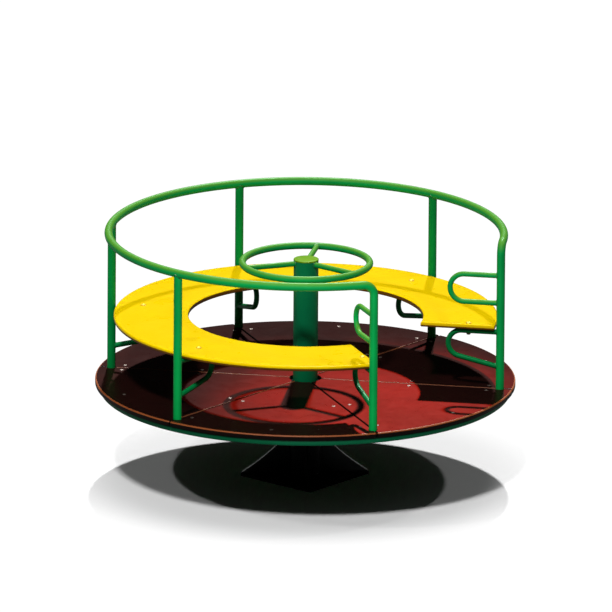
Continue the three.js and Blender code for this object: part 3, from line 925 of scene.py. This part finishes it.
# the top edge is rounded most round the rim, less along the joints, least at the post cut-outs and the bore
zone = ["rim"] * 67 + ["notch"] * 19 + ["left"] * 11 + ["bore"] * 15 + ["right"] * 11 + ["notch"] * 19 + ["rim"] * 6
assert len(zone) == n_side
SHARE = {"rim": 1.0, "notch": 0.25, "left": 0.5, "right": 0.5, "bore": 0.4}
share = [SHARE[z] for z in zone]
EASE, ROUND_STEPS, FILM = 4.6, 3, 0.25
slab = board(panel, UNDER, FLOOR_TOP - FILM, EASE, 0.8, ROUND_STEPS, share=share)
for band in range(ROUND_STEPS + 1, 2 * ROUND_STEPS + 1):
    for i in range(n_side):
        where = "notch" if i == 66 else zone[i]
        # where the rounding cuts through the film the varnished wood shows
        slab.k[band * n_side + i] = {"rim": 2, "notch": 1, "left": 3, "right": 4, "bore": 1}[where]
# the film itself, a thin skin over each panel
skin = board(offset(panel, EASE, share), FLOOR_TOP - 2 * FILM, FLOOR_TOP, 0.1, 0.1, 1, edge_kind=0)
for i in range(6):
    # painted shade: two of the joints get near-black edges, standing in for the shade down in the gap
    left = DECK_JOINT_SHADE if i in (2, 5) else DECK_SEAM
    right_side = DECK_JOINT_SHADE if i in (0, 3) else DECK_SEAM
    piece(
        "floor_board_%d" % (i + 1),
        slab.turned(-90 + 60 * i),
        [DECK, DECK_EDGE, DECK_CHAMFER, left, right_side],
        "platform",
        ["floor_panel_%d" % (i + 1)],
        crease=32.0,
    )
    piece("floor_film_%d" % (i + 1), skin.turned(-90 + 60 * i), DECK, "platform", crease=20.0)


def deck_screw(x, y, spin):
    """A low button head with a hexagon socket."""
    rows = []
    for r, z, six in (
        (6.4, FLOOR_TOP + 0.02, False),
        (6.5, FLOOR_TOP + 0.35, False),
        (6.0, FLOOR_TOP + 0.95, False),
        (4.9, FLOOR_TOP + 1.45, False),
        (3.6, FLOOR_TOP + 1.7, False),
        (2.75, FLOOR_TOP + 1.62, True),
        (2.6, FLOOR_TOP + 0.5, True),
    ):
        row = []
        for k in range(36):
            a = 2 * math.pi * k / 36
            rr = r / (math.cos(a % (math.pi / 3) - math.pi / 6) / math.cos(math.pi / 6)) * 1.0 if six else r
            row.append((x + rr * math.cos(a + spin), y + rr * math.sin(a + spin), z))
        rows.append(row)
    return rings(rows)


screws = Shape()
for i in range(6):
    one = Shape()
    one.merge(deck_screw(685.0, 0.0, 0.4 + i))
    for side in (1, -1):
        for r, off in ((660.0, 32.0), (380.0, 30.0)):
            x, y = seam_local(r, off, side)
            one.merge(deck_screw(x, y, 0.9 * i + r * 0.01 + side))
    screws.merge(one.turned(-90 + 60 * i))
piece("deck_screws", screws, SCREW, "platform")

# =====================================================================
# Steel frame under the floor
# =====================================================================
top = UNDER - GAP
piece(
    "ring_tube",
    revolve(rounded([(RING_R0, top - RING_H + GAP), (RING_R1, top - RING_H + GAP), (RING_R1, top), (RING_R0, top)], [3.5, 9.0, 10.0, 3.5], 6), 240),
    GREEN_RING_SHADED,
    "platform",
    ["frame_ring"],
)


def arm():
    rows = []
    for x in [HUB_R + GAP + 0.2 + (150 - HUB_R) * k / 4 for k in range(4)] + [
        150 + (ARM_END_R - 150 - 0.1) * k / 12 for k in range(13)
    ]:
        h = ARM_H_IN if x <= 150 else ARM_H_IN + (ARM_H_OUT - ARM_H_IN) * (x - 150) / (ARM_END_R - 150)
        r = 4.0
        w2 = ARM_W / 2 - 0.02
        row = []
        for cy, cz, start in (
            (w2 - r, top - r, 0),
            (-w2 + r, top - r, 90),
            (-w2 + r, top - h + r, 180),
            (w2 - r, top - h + r, 270),
        ):
            for k in range(6):
                a = rad(start + 90 * k / 5)
                row.append((x, cy + r * math.cos(a), cz + r * math.sin(a)))
        rows.append(row)
    return rings(rows)


ARM = arm()
for i in range(6):
    piece("arm_tube_%d" % (i + 1), ARM.turned(-60 + 60 * i), GREEN, "platform", ["frame_arm_%d" % (i + 1)])


def rect_loop(x, w, z0, z1, n=14):
    c = [(w, z1), (-w, z1), (-w, z0), (w, z0)]
    out = []
    for i in range(4):
        a, b = c[i], c[(i + 1) % 4]
        out += [(x, a[0] + (b[0] - a[0]) * k / n, a[1] + (b[1] - a[1]) * k / n) for k in range(n)]
    return out


for i in range(6):
    u = []
    for y, z in [(20.5, top - 2), (20.5, top - 60), (-20.5, top - 60), (-20.5, top - 2)]:
        u.append((y, z))
    path = []
    for a, b in zip(u, u[1:]):
        d = math.dist(a, b)
        k = int(d / 4)
        path += [(a[0] + (b[0] - a[0]) * j / k, a[1] + (b[1] - a[1]) * j / k) for j in range(k)]
    path.append(u[-1])
    # out along the hub's face and back a little inside it, as one closed bead
    loop = [(math.sqrt(HUB_R**2 - min(y * y, HUB_R**2)) + 0.9, y, z) for y, z in path]
    back = [(x - 1.6, y * 0.97, z + (0.6 if z < top - 50 else 0)) for x, y, z in reversed(loop)]
    welds.merge(bead(loop + back, 1.7, seed=i * 1.1).turned(-60 + 60 * i))

piece("platform_welds", welds, WELD, "platform")

# =====================================================================
# Hub, seal and bearings
# =====================================================================
ROUND = 144
piece(
    "hub_body",
    revolve(
        rounded(
            [
                (BEARING_R + GAP, HUB_Z0),
                (HUB_R, HUB_Z0),
                (HUB_R, UNDER - GAP),
                (BEARING_R + GAP, UNDER - GAP),
                (BEARING_R + GAP, 298.0),
                (50.0, 298.0),
                (50.0, 214.0),
                (BEARING_R + GAP, 214.0),
            ],
            [0.8, 1.6, 1.0, 0.6, 0, 0.5, 0.5, 0],
        ),
        ROUND,
    ),
    GREEN,
    "platform",
    ["hub_housing"],
)
piece(
    "bearing_cup",
    revolve(rounded([(51.5, 191), (BEARING_R, 191), (BEARING_R, 214 - GAP), (47.5, 214 - GAP)], 0.7, 3), ROUND),
    GROUND,
    "platform",
    ["lower_bearing_cup"],
)
piece(
    "bearing_outer_ring",
    revolve(rounded([(49.8, 298 + GAP), (BEARING_R, 298 + GAP), (BEARING_R, 320), (49.8, 320)], 0.8, 3), ROUND),
    GROUND,
    "platform",
    ["upper_bearing_outer_ring"],
)
piece(
    "lip_seal",
    revolve(
        rounded(
            [
                (46.5, 323),
                (BEARING_R, 323),
                (BEARING_R, UNDER + 4),
                (50, UNDER + 4),
                (COLUMN_R + 0.8, UNDER),
                (COLUMN_R + 0.8, UNDER - 3),
                (49, UNDER - 4),
                (46.5, 327),
            ],
            0.6,
            3,
        ),
        ROUND,
    ),
    RUBBER,
    "platform",
    ["hub_seal"],
)
piece(
    "bearing_cone",
    revolve(
        rounded(
            [
                (SPINDLE_R + GAP, FLANGE_TOP + GAP),
                (43, FLANGE_TOP + GAP),
                (43, 190),
                (40.5, 190),
                (36.5, 211),
                (SPINDLE_R + GAP, 211),
            ],
            0.5,
            3,
        ),
        ROUND,
    ),
    GROUND,
    "base",
    ["lower_bearing_cone"],
)
piece(
    "spacer_sleeve",
    revolve(rounded([(SPINDLE_R + GAP, 211 + GAP), (35.5, 211 + GAP), (35.5, 298), (SPINDLE_R + GAP, 298)], 0.6, 3), 96),
    TURNED,
    "base",
    ["bearing_spacer"],
)
piece(
    "bearing_inner_ring",
    revolve(rounded([(SPINDLE_R + GAP, 298 + GAP), (35.8, 298 + GAP), (35.8, 320), (SPINDLE_R + GAP, 320)], 0.6, 3), 96),
    GROUND,
    "base",
    ["upper_bearing_inner_ring"],
)

# Round nut: four key slots cut into its rim.
nut = []
levels = [(320 + GAP, 0.6), (320 + GAP + 0.6, 0.0), (330.4, 0.0), (331.0, 0.6)]
count = 144
for z, inset in levels:
    row = []
    for k in range(count):
        a = 360.0 * k / count
        d = abs((a + 45) % 90 - 45)
        r = 37.0 if d < 5.4 else 42.0
        r -= inset
        row.append((r * math.cos(rad(a)), r * math.sin(rad(a)), z))
    nut.append(row)
bore = [
    [((SPINDLE_R + GAP + b) * math.cos(2 * math.pi * k / count), (SPINDLE_R + GAP + b) * math.sin(2 * math.pi * k / count), z) for k in range(count)]
    for z, b in ((331.0, 0.5), (330.5, 0.0), (320 + GAP + 0.5, 0.0), (320 + GAP, 0.5))
]
piece("lock_nut", rings(nut + bore, closed=True), TURNED, "base", ["spindle_lock_nut"])

# Taper rollers in their cage, and balls in theirs.
rollers = revolve(rounded([(42.6, 199.5), (45.1, 199.5), (44.7, 203.5), (42.2, 203.5)], 0.3, 2), 96)
for i in range(12):
    prof = [(0, -8.45), (4.2, -8.45), (4.58, -8.0), (4.3, 8.0), (3.9, 8.45), (0, 8.45)]
    one = revolve(prof, 28)
    c, w = math.cos(rad(-11)), math.sin(rad(-11))
    one.v = [(x * c + z * w + 44.0, y, -x * w + z * c + 201.5) for x, y, z in one.v]
    rollers.merge(one.turned(30 * i))
piece("roller_set", rollers, GROUND, "lower_rollers", ["lower_bearing_rollers"])
balls = revolve(rounded([(41.3, 306.5), (43.8, 306.5), (43.8, 311.5), (41.3, 311.5)], 0.4, 2), 96)
for i in range(12):
    prof = [(6.25 * math.cos(rad(t)), 6.25 * math.sin(rad(t))) for t in range(-90, 91, 10)]
    prof[0], prof[-1] = (0.0, -6.25), (0.0, 6.25)
    balls.merge(revolve(prof, 28).moved(42.55, 0, 309).turned(30 * i))
piece("ball_set", balls, GROUND, "upper_balls", ["upper_bearing_balls"])

# =====================================================================
# Pedestal
# =====================================================================
h = BASE / 2 - 0.1
corner = []
for cx, cy, start in ((h, h, 0), (-h, h, 90), (-h, -h, 180), (h, -h, 270)):
    r = 3.0
    px, py = cx - math.copysign(r, cx), cy - math.copysign(r, cy)
    for k in range(7):
        a = rad(start + 90 * k / 6)
        corner.append((px + r * math.cos(a), py + r * math.sin(a)))


def plate_with_holes(outline, holes, z0, z1, c):
    """A plate with round holes, its outer and hole edges chamfered."""
    bm = bmesh.new()
    loops = [(outline, c)] + [(list(hole), -c) for hole in holes]
    caps = {}
    for tag, z, d in (("low", z0, 1), ("low_side", z0 + c, 0), ("top_side", z1 - c, 0), ("top", z1, 1)):
        caps[tag] = []
        for pts, amount in loops:
            ring = offset(pts, amount * d) if d else pts
            caps[tag].append([bm.verts.new((x, y, z)) for x, y in ring])
    order = ["low", "low_side", "top_side", "top"]
    for a, b in zip(order, order[1:]):
        for la, lb in zip(caps[a], caps[b]):
            n = len(la)
            for i in range(n):
                bm.faces.new((la[i], la[(i + 1) % n], lb[(i + 1) % n], lb[i]))
    for tag in ("low", "top"):
        edges = []
        for ring in caps[tag]:
            n = len(ring)
            for i in range(n):
                e = bm.edges.get((ring[i], ring[(i + 1) % n]))
                edges.append(e)
        bmesh.ops.triangle_fill(bm, use_beauty=True, edges=edges)
    bm.verts.index_update()
    sh = Shape()
    sh.v = [tuple(v.co) for v in bm.verts]
    sh.f = [tuple(v.index for v in f.verts) for f in bm.faces]
    sh.k = [0] * len(sh.f)
    bm.free()
    return sh


holes = []
for x, y in ((125, 0), (0, 125), (-125, 0), (0, -125)):
    holes.append([(x + 9 * math.cos(2 * math.pi * k / 40), y + 9 * math.sin(2 * math.pi * k / 40)) for k in range(40)])
piece("foot_plate", plate_with_holes(corner, holes, 0.1, BASE_T, 1.0), DARK, "base", ["base_plate"], crease=25.0)

piece(
    "pedestal_pipe",
    revolve(
        rounded(
            [
                (PEDESTAL_R - PEDESTAL_WALL, BASE_T + GAP),
                (PEDESTAL_R, BASE_T + GAP),
                (PEDESTAL_R, PEDESTAL_TOP),
                (PEDESTAL_R - PEDESTAL_WALL, PEDESTAL_TOP),
            ],
            1.0,
        ),
        ROUND,
    ),
    DARK,
    "base",
    ["pedestal_tube"],
)

foot = BASE / 2 * math.sqrt(2) - 5.5 - 0.2
g_in = PEDESTAL_R + GAP + 0.1
web = [(g_in, BASE_T + GAP), (foot, BASE_T + GAP)]
for k in range(25):
    u = k / 24
    p0, p1, p2 = (foot, BASE_T + 4), (128.0, 78.0), (g_in, 160.0)
    web.append(
        (
            p0[0] * (1 - u) ** 2 + p1[0] * 2 * u * (1 - u) + p2[0] * u * u,
            p0[1] * (1 - u) ** 2 + p1[1] * 2 * u * (1 - u) + p2[1] * u * u,
        )
    )
g = board(web, -GUSSET_T / 2, GUSSET_T / 2, 1.1, 1.1, 2, edge_kind=0)
# painted highlight: the curved edge's two corners are light grey, standing in for the light they catch
n_web = len(web)
for j in range(5):
    for i in range(2, n_web - 1):
        g.k[j * n_web + i] = 1
gusset = Shape()
gusset.v = [(x, -z, y) for x, y, z in g.v]
gusset.f, gusset.k = g.f, g.k
foot_welds = Shape()
for i in range(4):
    # only gussets 2 and 4 get the painted highlight on their curved edges
    rim = DARK_EDGE_LIT if i % 2 else DARK
    piece("gusset_web_%d" % (i + 1), gusset.turned(45 + 90 * i), [DARK, rim], "base", ["gusset_%d" % (i + 1)], crease=30.0)
    for side in (1, -1):
        run = [(PEDESTAL_R + 1.0, side * 4.6, BASE_T + 4 + (138.0) * k / 30) for k in range(31)]
        back = [(x - 1.4, y * 0.75, z) for x, y, z in reversed(run)]
        foot_welds.merge(bead(run + back, 1.5, seed=i + side).turned(45 + 90 * i))
        run = [(PEDESTAL_R + 4 + (foot - PEDESTAL_R - 10) * k / 36, side * 4.6, BASE_T + 0.9) for k in range(37)]
        back = [(x, y * 0.75, z - 0.5) for x, y, z in reversed(run)]
        foot_welds.merge(bead(run + back, 1.5, seed=2 * i + side).turned(45 + 90 * i))
loop = [((PEDESTAL_R + 0.6) * math.cos(2 * math.pi * k / 90), (PEDESTAL_R + 0.6) * math.sin(2 * math.pi * k / 90), BASE_T + 1.0) for k in range(90)]
foot_welds.merge(bead(loop, 2.0, seed=3.0))
piece("pedestal_welds", foot_welds, DARK_WELD, "base")

piece(
    "spindle_shaft",
    revolve(
        [
            (0, PEDESTAL_TOP + GAP),
            (PEDESTAL_R - 1, PEDESTAL_TOP + GAP),
            (PEDESTAL_R, PEDESTAL_TOP + GAP + 1),
            (PEDESTAL_R, FLANGE_TOP - 1.2),
            (PEDESTAL_R - 1.2, FLANGE_TOP),
            (SPINDLE_R + 0.4, FLANGE_TOP),
            (SPINDLE_R, FLANGE_TOP + 0.4),
            (SPINDLE_R, SPINDLE_TOP - 2),
            (SPINDLE_R - 2, SPINDLE_TOP),
            (9.2, SPINDLE_TOP),
            (8.4, SPINDLE_TOP - 0.8),
            (8.4, SPINDLE_TOP - 60),
            (0, SPINDLE_TOP - 60),
        ],
        ROUND,
    ),
    TURNED,
    "base",
    ["spindle"],
)
piece(
    "foot_spigot",
    revolve(
        rounded(
            [
                (SPINDLE_R + GAP, 331 + GAP),
                (COLUMN_R - COLUMN_WALL - GAP, 331 + GAP),
                (COLUMN_R - COLUMN_WALL - GAP, 346),
                (SPINDLE_R + GAP, 346),
            ],
            0.6,
            3,
        ),
        96,
    ),
    TURNED,
    "base",
    ["column_foot_ring"],
)

# =====================================================================
# Column, cap and hand wheel
# =====================================================================
piece(
    "column_pipe",
    revolve(
        rounded(
            [
                (COLUMN_R - COLUMN_WALL, 331 + GAP),
                (COLUMN_R - 0.02, 331 + GAP),
                (COLUMN_R - 0.02, COLUMN_TOP - 5),
                (COLUMN_R - COLUMN_WALL, COLUMN_TOP - 5),
            ],
            0.8,
            3,
        ),
        ROUND,
    ),
    GREEN_COLUMN,
    "base",
    ["column_tube"],
)
piece(
    "inner_bulkhead",
    revolve(
        rounded(
            [
                (9, SPINDLE_TOP + GAP),
                (COLUMN_R - COLUMN_WALL - GAP, SPINDLE_TOP + GAP),
                (COLUMN_R - COLUMN_WALL - GAP, SPINDLE_TOP + 12),
                (9, SPINDLE_TOP + 12),
            ],
            0.7,
            3,
        ),
        96,
    ),
    TURNED,
    "base",
    ["column_bulkhead"],
)
shank = revolve([(0, SPINDLE_TOP - 50), (7.4, SPINDLE_TOP - 50), (7.95, SPINDLE_TOP - 49), (7.95, SPINDLE_TOP + 14), (0, SPINDLE_TOP + 14)], 48)
hex_rows = []
for z, r in ((SPINDLE_TOP + 12 + GAP, 13.0), (SPINDLE_TOP + 13, 13.7), (SPINDLE_TOP + 21, 13.7), (SPINDLE_TOP + 21.9, 12.6)):
    hex_rows.append(
        [
            (
                min(r, 11.9 / math.cos((2 * math.pi * k / 48) % (math.pi / 3) - math.pi / 6)) * math.cos(2 * math.pi * k / 48),
                min(r, 11.9 / math.cos((2 * math.pi * k / 48) % (math.pi / 3) - math.pi / 6)) * math.sin(2 * math.pi * k / 48),
                z,
            )
            for k in range(48)
        ]
    )
shank.merge(rings(hex_rows))
piece("centre_bolt", shank, ZINC, "base", ["column_bolt"])
piece(
    "cap_plate",
    revolve(
        [
            (0, COLUMN_TOP - 12),
            (COLUMN_R - COLUMN_WALL - GAP - 0.4, COLUMN_TOP - 12),
            (COLUMN_R - COLUMN_WALL - GAP, COLUMN_TOP - 11.6),
            (COLUMN_R - COLUMN_WALL - GAP, COLUMN_TOP - 5 + GAP),
            (COLUMN_R + 0.2, COLUMN_TOP - 5 + GAP),
            (COLUMN_R + 0.48, COLUMN_TOP - 4.4),
            (COLUMN_R + 0.48, COLUMN_TOP - 1.7),
            (COLUMN_R + 0.1, COLUMN_TOP - 0.75),
            (COLUMN_R - 0.6, COLUMN_TOP - 0.2),
            (COLUMN_R - 1.6, COLUMN_TOP),
            (COLUMN_R - 12, COLUMN_TOP),
            (COLUMN_R - 24, COLUMN_TOP),
            (0, COLUMN_TOP),
        ],
        ROUND,
    ),
    GREEN_CAP_LIT,
    "base",
    ["column_cap"],
)

rows = []
N_WHEEL = 216
for i in range(N_WHEEL):
    a = 2 * math.pi * i / N_WHEEL
    row = []
    for k in range(32):
        b = 2 * math.pi * k / 32
        r = WHEEL_R + (WHEEL_TUBE_R - 0.03) * math.cos(b)
        row.append((r * math.cos(a), r * math.sin(a), WHEEL_Z + (WHEEL_TUBE_R - 0.03) * math.sin(b)))
    rows.append(row)
piece("wheel_ring", rings(rows, closed=True), GREEN, "base", ["wheel_rim"])

wheel_welds = Shape()
SP = 28
rows = []
inner_row, outer_row = [], []
for k in range(SP):
    y = (SPOKE_R - 0.02) * math.cos(2 * math.pi * k / SP)
    z = (SPOKE_R - 0.02) * math.sin(2 * math.pi * k / SP)
    inner_row.append((math.sqrt(COLUMN_R**2 - y * y), y, WHEEL_Z + z))
    rr = WHEEL_R - math.sqrt(WHEEL_TUBE_R**2 - z * z)
    outer_row.append((math.sqrt(rr * rr - y * y), y, WHEEL_Z + z))
deep_in = [(x - 1.5, y, z) for x, y, z in inner_row]
deep_out = [(x + 1.5, y, z) for x, y, z in outer_row]
mid = []
for k in range(1, 8):
    u = k / 8
    mid.append([(a[0] * (1 - u) + b[0] * u, a[1], a[2]) for a, b in zip(inner_row, outer_row)])
spoke = rings([deep_in, inner_row] + mid + [outer_row, deep_out])
for i in range(3):
    angle = -90 + 120 * i
    piece("spoke_tube_%d" % (i + 1), spoke.turned(angle), GREEN, "base", ["wheel_spoke_%d" % (i + 1)])
    wheel_welds.merge(bead(inner_row, 1.9, seed=i).turned(angle))
    wheel_welds.merge(bead(outer_row, 1.7, seed=i + 4).turned(angle))
piece("wheel_welds", wheel_welds, WELD, "base")

# =====================================================================
# Stage, lights and camera
# =====================================================================
scene = bpy.context.scene

floor_mat = Mat("stage_floor")
floor_mat.colour(floor_mat.mix(floor_mat.noise(0.8, 2.0, 0.5), (0.84, 0.84, 0.84, 1), (0.86, 0.86, 0.86, 1)))
floor_mat.set(Roughness=0.9, Specular_IOR_Level=0.0)
# The floor is white to look at but throws little light back up, as a matt studio sweep does.
dim = floor_mat.node("ShaderNodeBsdfDiffuse")
dim.inputs["Color"].default_value = (0.16, 0.16, 0.16, 1)
path = floor_mat.node("ShaderNodeLightPath")
both = floor_mat.node("ShaderNodeMixShader")
# Away from the object its shadows fade into the white of the sweep.
glow = floor_mat.node("ShaderNodeEmission")
glow.inputs["Strength"].default_value = 1.05
flat = floor_mat.node("ShaderNodeVectorMath", operation="MULTIPLY")
flat.inputs[1].default_value = (1.0, 1.0, 0.0)
floor_mat.link(floor_mat.c.outputs["Object"], flat.inputs[0])
far = floor_mat.node("ShaderNodeVectorMath", operation="LENGTH")
floor_mat.link(flat.outputs[0], far.inputs[0])
fade = floor_mat.node("ShaderNodeMixShader")
floor_mat.link(floor_mat.remap(far.outputs["Value"], 0.64, 0.98, 0.0, 1.0, True), fade.inputs[0])
floor_mat.link(floor_mat.b.outputs[0], fade.inputs[1])
floor_mat.link(glow.outputs[0], fade.inputs[2])
floor_mat.link(path.outputs["Is Camera Ray"], both.inputs[0])
floor_mat.link(dim.outputs[0], both.inputs[1])
floor_mat.link(fade.outputs[0], both.inputs[2])
floor_mat.link(both.outputs[0], floor_mat.out.inputs[0])
bm = bmesh.new()
ring_in = []
for r in (0.6, 1.5, 4.0, 12.0, 70.0):
    ring_in.append([bm.verts.new((r * math.cos(2 * math.pi * k / 64), r * math.sin(2 * math.pi * k / 64), 0.0)) for k in range(64)])
bm.faces.new(ring_in[0])
for a, b in zip(ring_in, ring_in[1:]):
    for k in range(64):
        bm.faces.new((a[k], b[k], b[(k + 1) % 64], a[(k + 1) % 64]))
floor_mesh = bpy.data.meshes.new("studio_floor")
bm.to_mesh(floor_mesh)
bm.free()
floor_mesh.materials.append(floor_mat.m)
floor = bpy.data.objects.new("studio_floor", floor_mesh)
scene.collection.objects.link(floor)

world = bpy.data.worlds.new("studio")
scene.world = world
world.use_nodes = True
wt = world.node_tree
wt.nodes.clear()
w_out = wt.nodes.new("ShaderNodeOutputWorld")
w_bg = wt.nodes.new("ShaderNodeBackground")
w_co = wt.nodes.new("ShaderNodeTexCoord")
w_sep = wt.nodes.new("ShaderNodeSeparateXYZ")
w_ramp = wt.nodes.new("ShaderNodeValToRGB")
wt.links.new(w_co.outputs["Generated"], w_sep.inputs[0])
wt.links.new(w_sep.outputs["Z"], w_ramp.inputs["Fac"])
w_ramp.color_ramp.elements[0].position = 0.22
w_ramp.color_ramp.elements[0].color = (0.01, 0.014, 0.015, 1)
w_ramp.color_ramp.elements[1].position = 0.8
w_ramp.color_ramp.elements[1].color = (0.96, 1.0, 1.02, 1)
wt.links.new(w_ramp.outputs["Color"], w_bg.inputs["Color"])
w_bg.inputs["Strength"].default_value = 0.055
wt.links.new(w_bg.outputs[0], w_out.inputs[0])


def sun(name, dx, dy, strength, angle):
    data = bpy.data.lights.new(name, "SUN")
    data.energy = strength
    data.angle = rad(angle)
    o = bpy.data.objects.new(name, data)
    scene.collection.objects.link(o)
    d = Vector((dx, dy, -0.346)).normalized()
    o.location = -d * 6.0
    o.rotation_euler = (-d).to_track_quat("Z", "Y").to_euler()
    return o


# Two front lights from one side: the second leaves the dark deck alone, as a flagged lamp does.
# A third one is for the bench, which gets less of the back light, so that the rail's shadow on it stays light.
FRONT = [
    sun("light_front", 0.218, 0.109, 0.75, 6.0),
    sun("light_front_flagged", 0.218, 0.109, 1.5, 6.0),
    sun("light_front_bench", 0.218, 0.109, 1.59, 2.5),
]
BACK = sun("light_back", -0.236, -0.170, 3.7, 2.0)
BACK_BENCH = sun("light_back_bench", -0.236, -0.170, 2.0, 2.0)
FILLS = [sun("light_right", -0.226, 0.137, 0.34, 2.0), sun("light_left", 0.246, -0.161, 0.42, 2.0)]

# A warm lamp picks out the floor by the way in, from the same side as the back light.
lamp_data = bpy.data.lights.new("light_entry", "SPOT")
lamp_data.energy = 35500.0
lamp_data.color = (1.0, 0.075, 0.04)
lamp_data.spot_size = rad(7.8)
lamp_data.spot_blend = 1.0
lamp_data.shadow_soft_size = 0.12
lamp = bpy.data.objects.new("light_entry", lamp_data)
scene.collection.objects.link(lamp)
lamp_to = Vector((-0.10, -0.40, 0.36))
lamp_dir = Vector((-0.236, -0.170, -0.346)).normalized()
lamp.location = lamp_to - lamp_dir * 10.0
lamp.rotation_euler = (-lamp_dir).to_track_quat("Z", "Y").to_euler()

# A soft box on the camera's side for the upright tubes, and two low lamps that catch the pedestal's edges.
box_data = bpy.data.lights.new("light_soft", "AREA")
box_data.shape = "DISK"
box_data.size = 1.2
box_data.energy = 16.0
box = bpy.data.objects.new("light_soft", box_data)
scene.collection.objects.link(box)
box.location = Vector((-0.766 * 2.2, -0.643 * 2.2, 0.95))
box.rotation_euler = (box.location - Vector((0.0, 0.0, 0.62))).to_track_quat("Z", "Y").to_euler()
LOW = []
for name, side in (("light_low_left", -1.0), ("light_low_right", 1.0)):
    d = bpy.data.lights.new(name, "SPOT")
    d.energy = 200.0
    LOW.append(None)
    d.spot_size = rad(9.0)
    d.spot_blend = 0.6
    d.shadow_soft_size = 0.05
    o = bpy.data.objects.new(name, d)
    scene.collection.objects.link(o)
    o.location = Vector((side * 0.643 * 3.0, -side * 0.766 * 3.0, 0.30))
    o.rotation_euler = (o.location - Vector((0.0, 0.0, 0.09))).to_track_quat("Z", "Y").to_euler()
    LOW[-1] = o


def limit(light, kind, names, state):
    """The light reaches only (INCLUDE) or doesn't reach (EXCLUDE) the named pieces; kind "blocker" is for shadows."""
    group = bpy.data.collections.new(light.name + "_" + kind)
    for o in bpy.data.objects:
        if o.type == "MESH" and o.name.startswith(names):
            group.objects.link(o)
    for entry in group.collection_objects:
        entry.light_linking.link_state = state
    setattr(light.light_linking, kind + "_collection", group)


FILM_PIECES = ("floor_film_", "deck_screws")
FLOOR_PIECES = FILM_PIECES + ("floor_board_",)
TUBES = ("rail_tube", "post_tube_4", "handle_tube_", "wheel_ring", "spoke_tube_", "ring_tube")
limit(FRONT[1], "receiver", FILM_PIECES, "EXCLUDE")
limit(FRONT[2], "receiver", ("bench_board", "bench_bolt_"), "INCLUDE")
limit(BACK, "receiver", ("bench_board",), "EXCLUDE")
limit(BACK_BENCH, "receiver", ("bench_board",), "INCLUDE")
for light in FRONT:
    limit(light, "blocker", ("rail_tube", "post_tube_", "handle_tube_1"), "EXCLUDE")
for light in FILLS:
    limit(light, "receiver", FLOOR_PIECES + ("post_tube_1", "post_tube_2", "bracket_tube_2", "bracket_tube_3"), "EXCLUDE")
limit(lamp, "receiver", ("floor_film_",), "INCLUDE")
limit(box, "receiver", TUBES, "INCLUDE")
for light in LOW:
    limit(light, "receiver", ("gusset_web_2", "gusset_web_4"), "INCLUDE")

# The camera stands far off, so that the picture is close to a parallel view.
PX_PER_MM = 0.2803
DIST = 80000.0
CENTRE_PX = (305.3, 377.7)  # where the middle of the floor's top falls, in a 612 x 612 picture
AZ, EL, ROLL = -50.0, 15.75, 0.4
direction = Vector((math.sin(rad(AZ)) * math.cos(rad(EL)), -math.cos(rad(AZ)) * math.cos(rad(EL)), math.sin(rad(EL))))
right = Vector((math.cos(rad(AZ)), math.sin(rad(AZ)), 0.0))
up = direction.cross(right)
# roll turns the picture's axes in its own plane
c, w = math.cos(rad(ROLL)), math.sin(rad(ROLL))
right_r = right * c + up * w
up_r = up * c - right * w
dx = (306.0 - CENTRE_PX[0]) / PX_PER_MM
dy = (CENTRE_PX[1] - 306.0) / PX_PER_MM
target = Vector((0.0, 0.0, FLOOR_TOP)) + right_r * dx + up_r * dy
cam_data = bpy.data.cameras.new("view")
cam_data.sensor_width = 36.0
cam_data.sensor_fit = "HORIZONTAL"
cam_data.lens = 36.0 * (PX_PER_MM * DIST) / 612.0
cam_data.clip_start = 0.5
cam_data.clip_end = 400.0
cam_data.dof.use_dof = False
cam = bpy.data.objects.new("view", cam_data)
scene.collection.objects.link(cam)
basis = Matrix((right_r, up_r, direction)).transposed()
cam.matrix_world = Matrix.Translation((target + direction * DIST) * MM) @ basis.to_4x4()
scene.camera = cam

scene.view_settings.view_transform = "Standard"
scene.view_settings.look = "None"
scene.view_settings.exposure = 0.0
scene.view_settings.gamma = 1.0

bpy.context.view_layer.update()
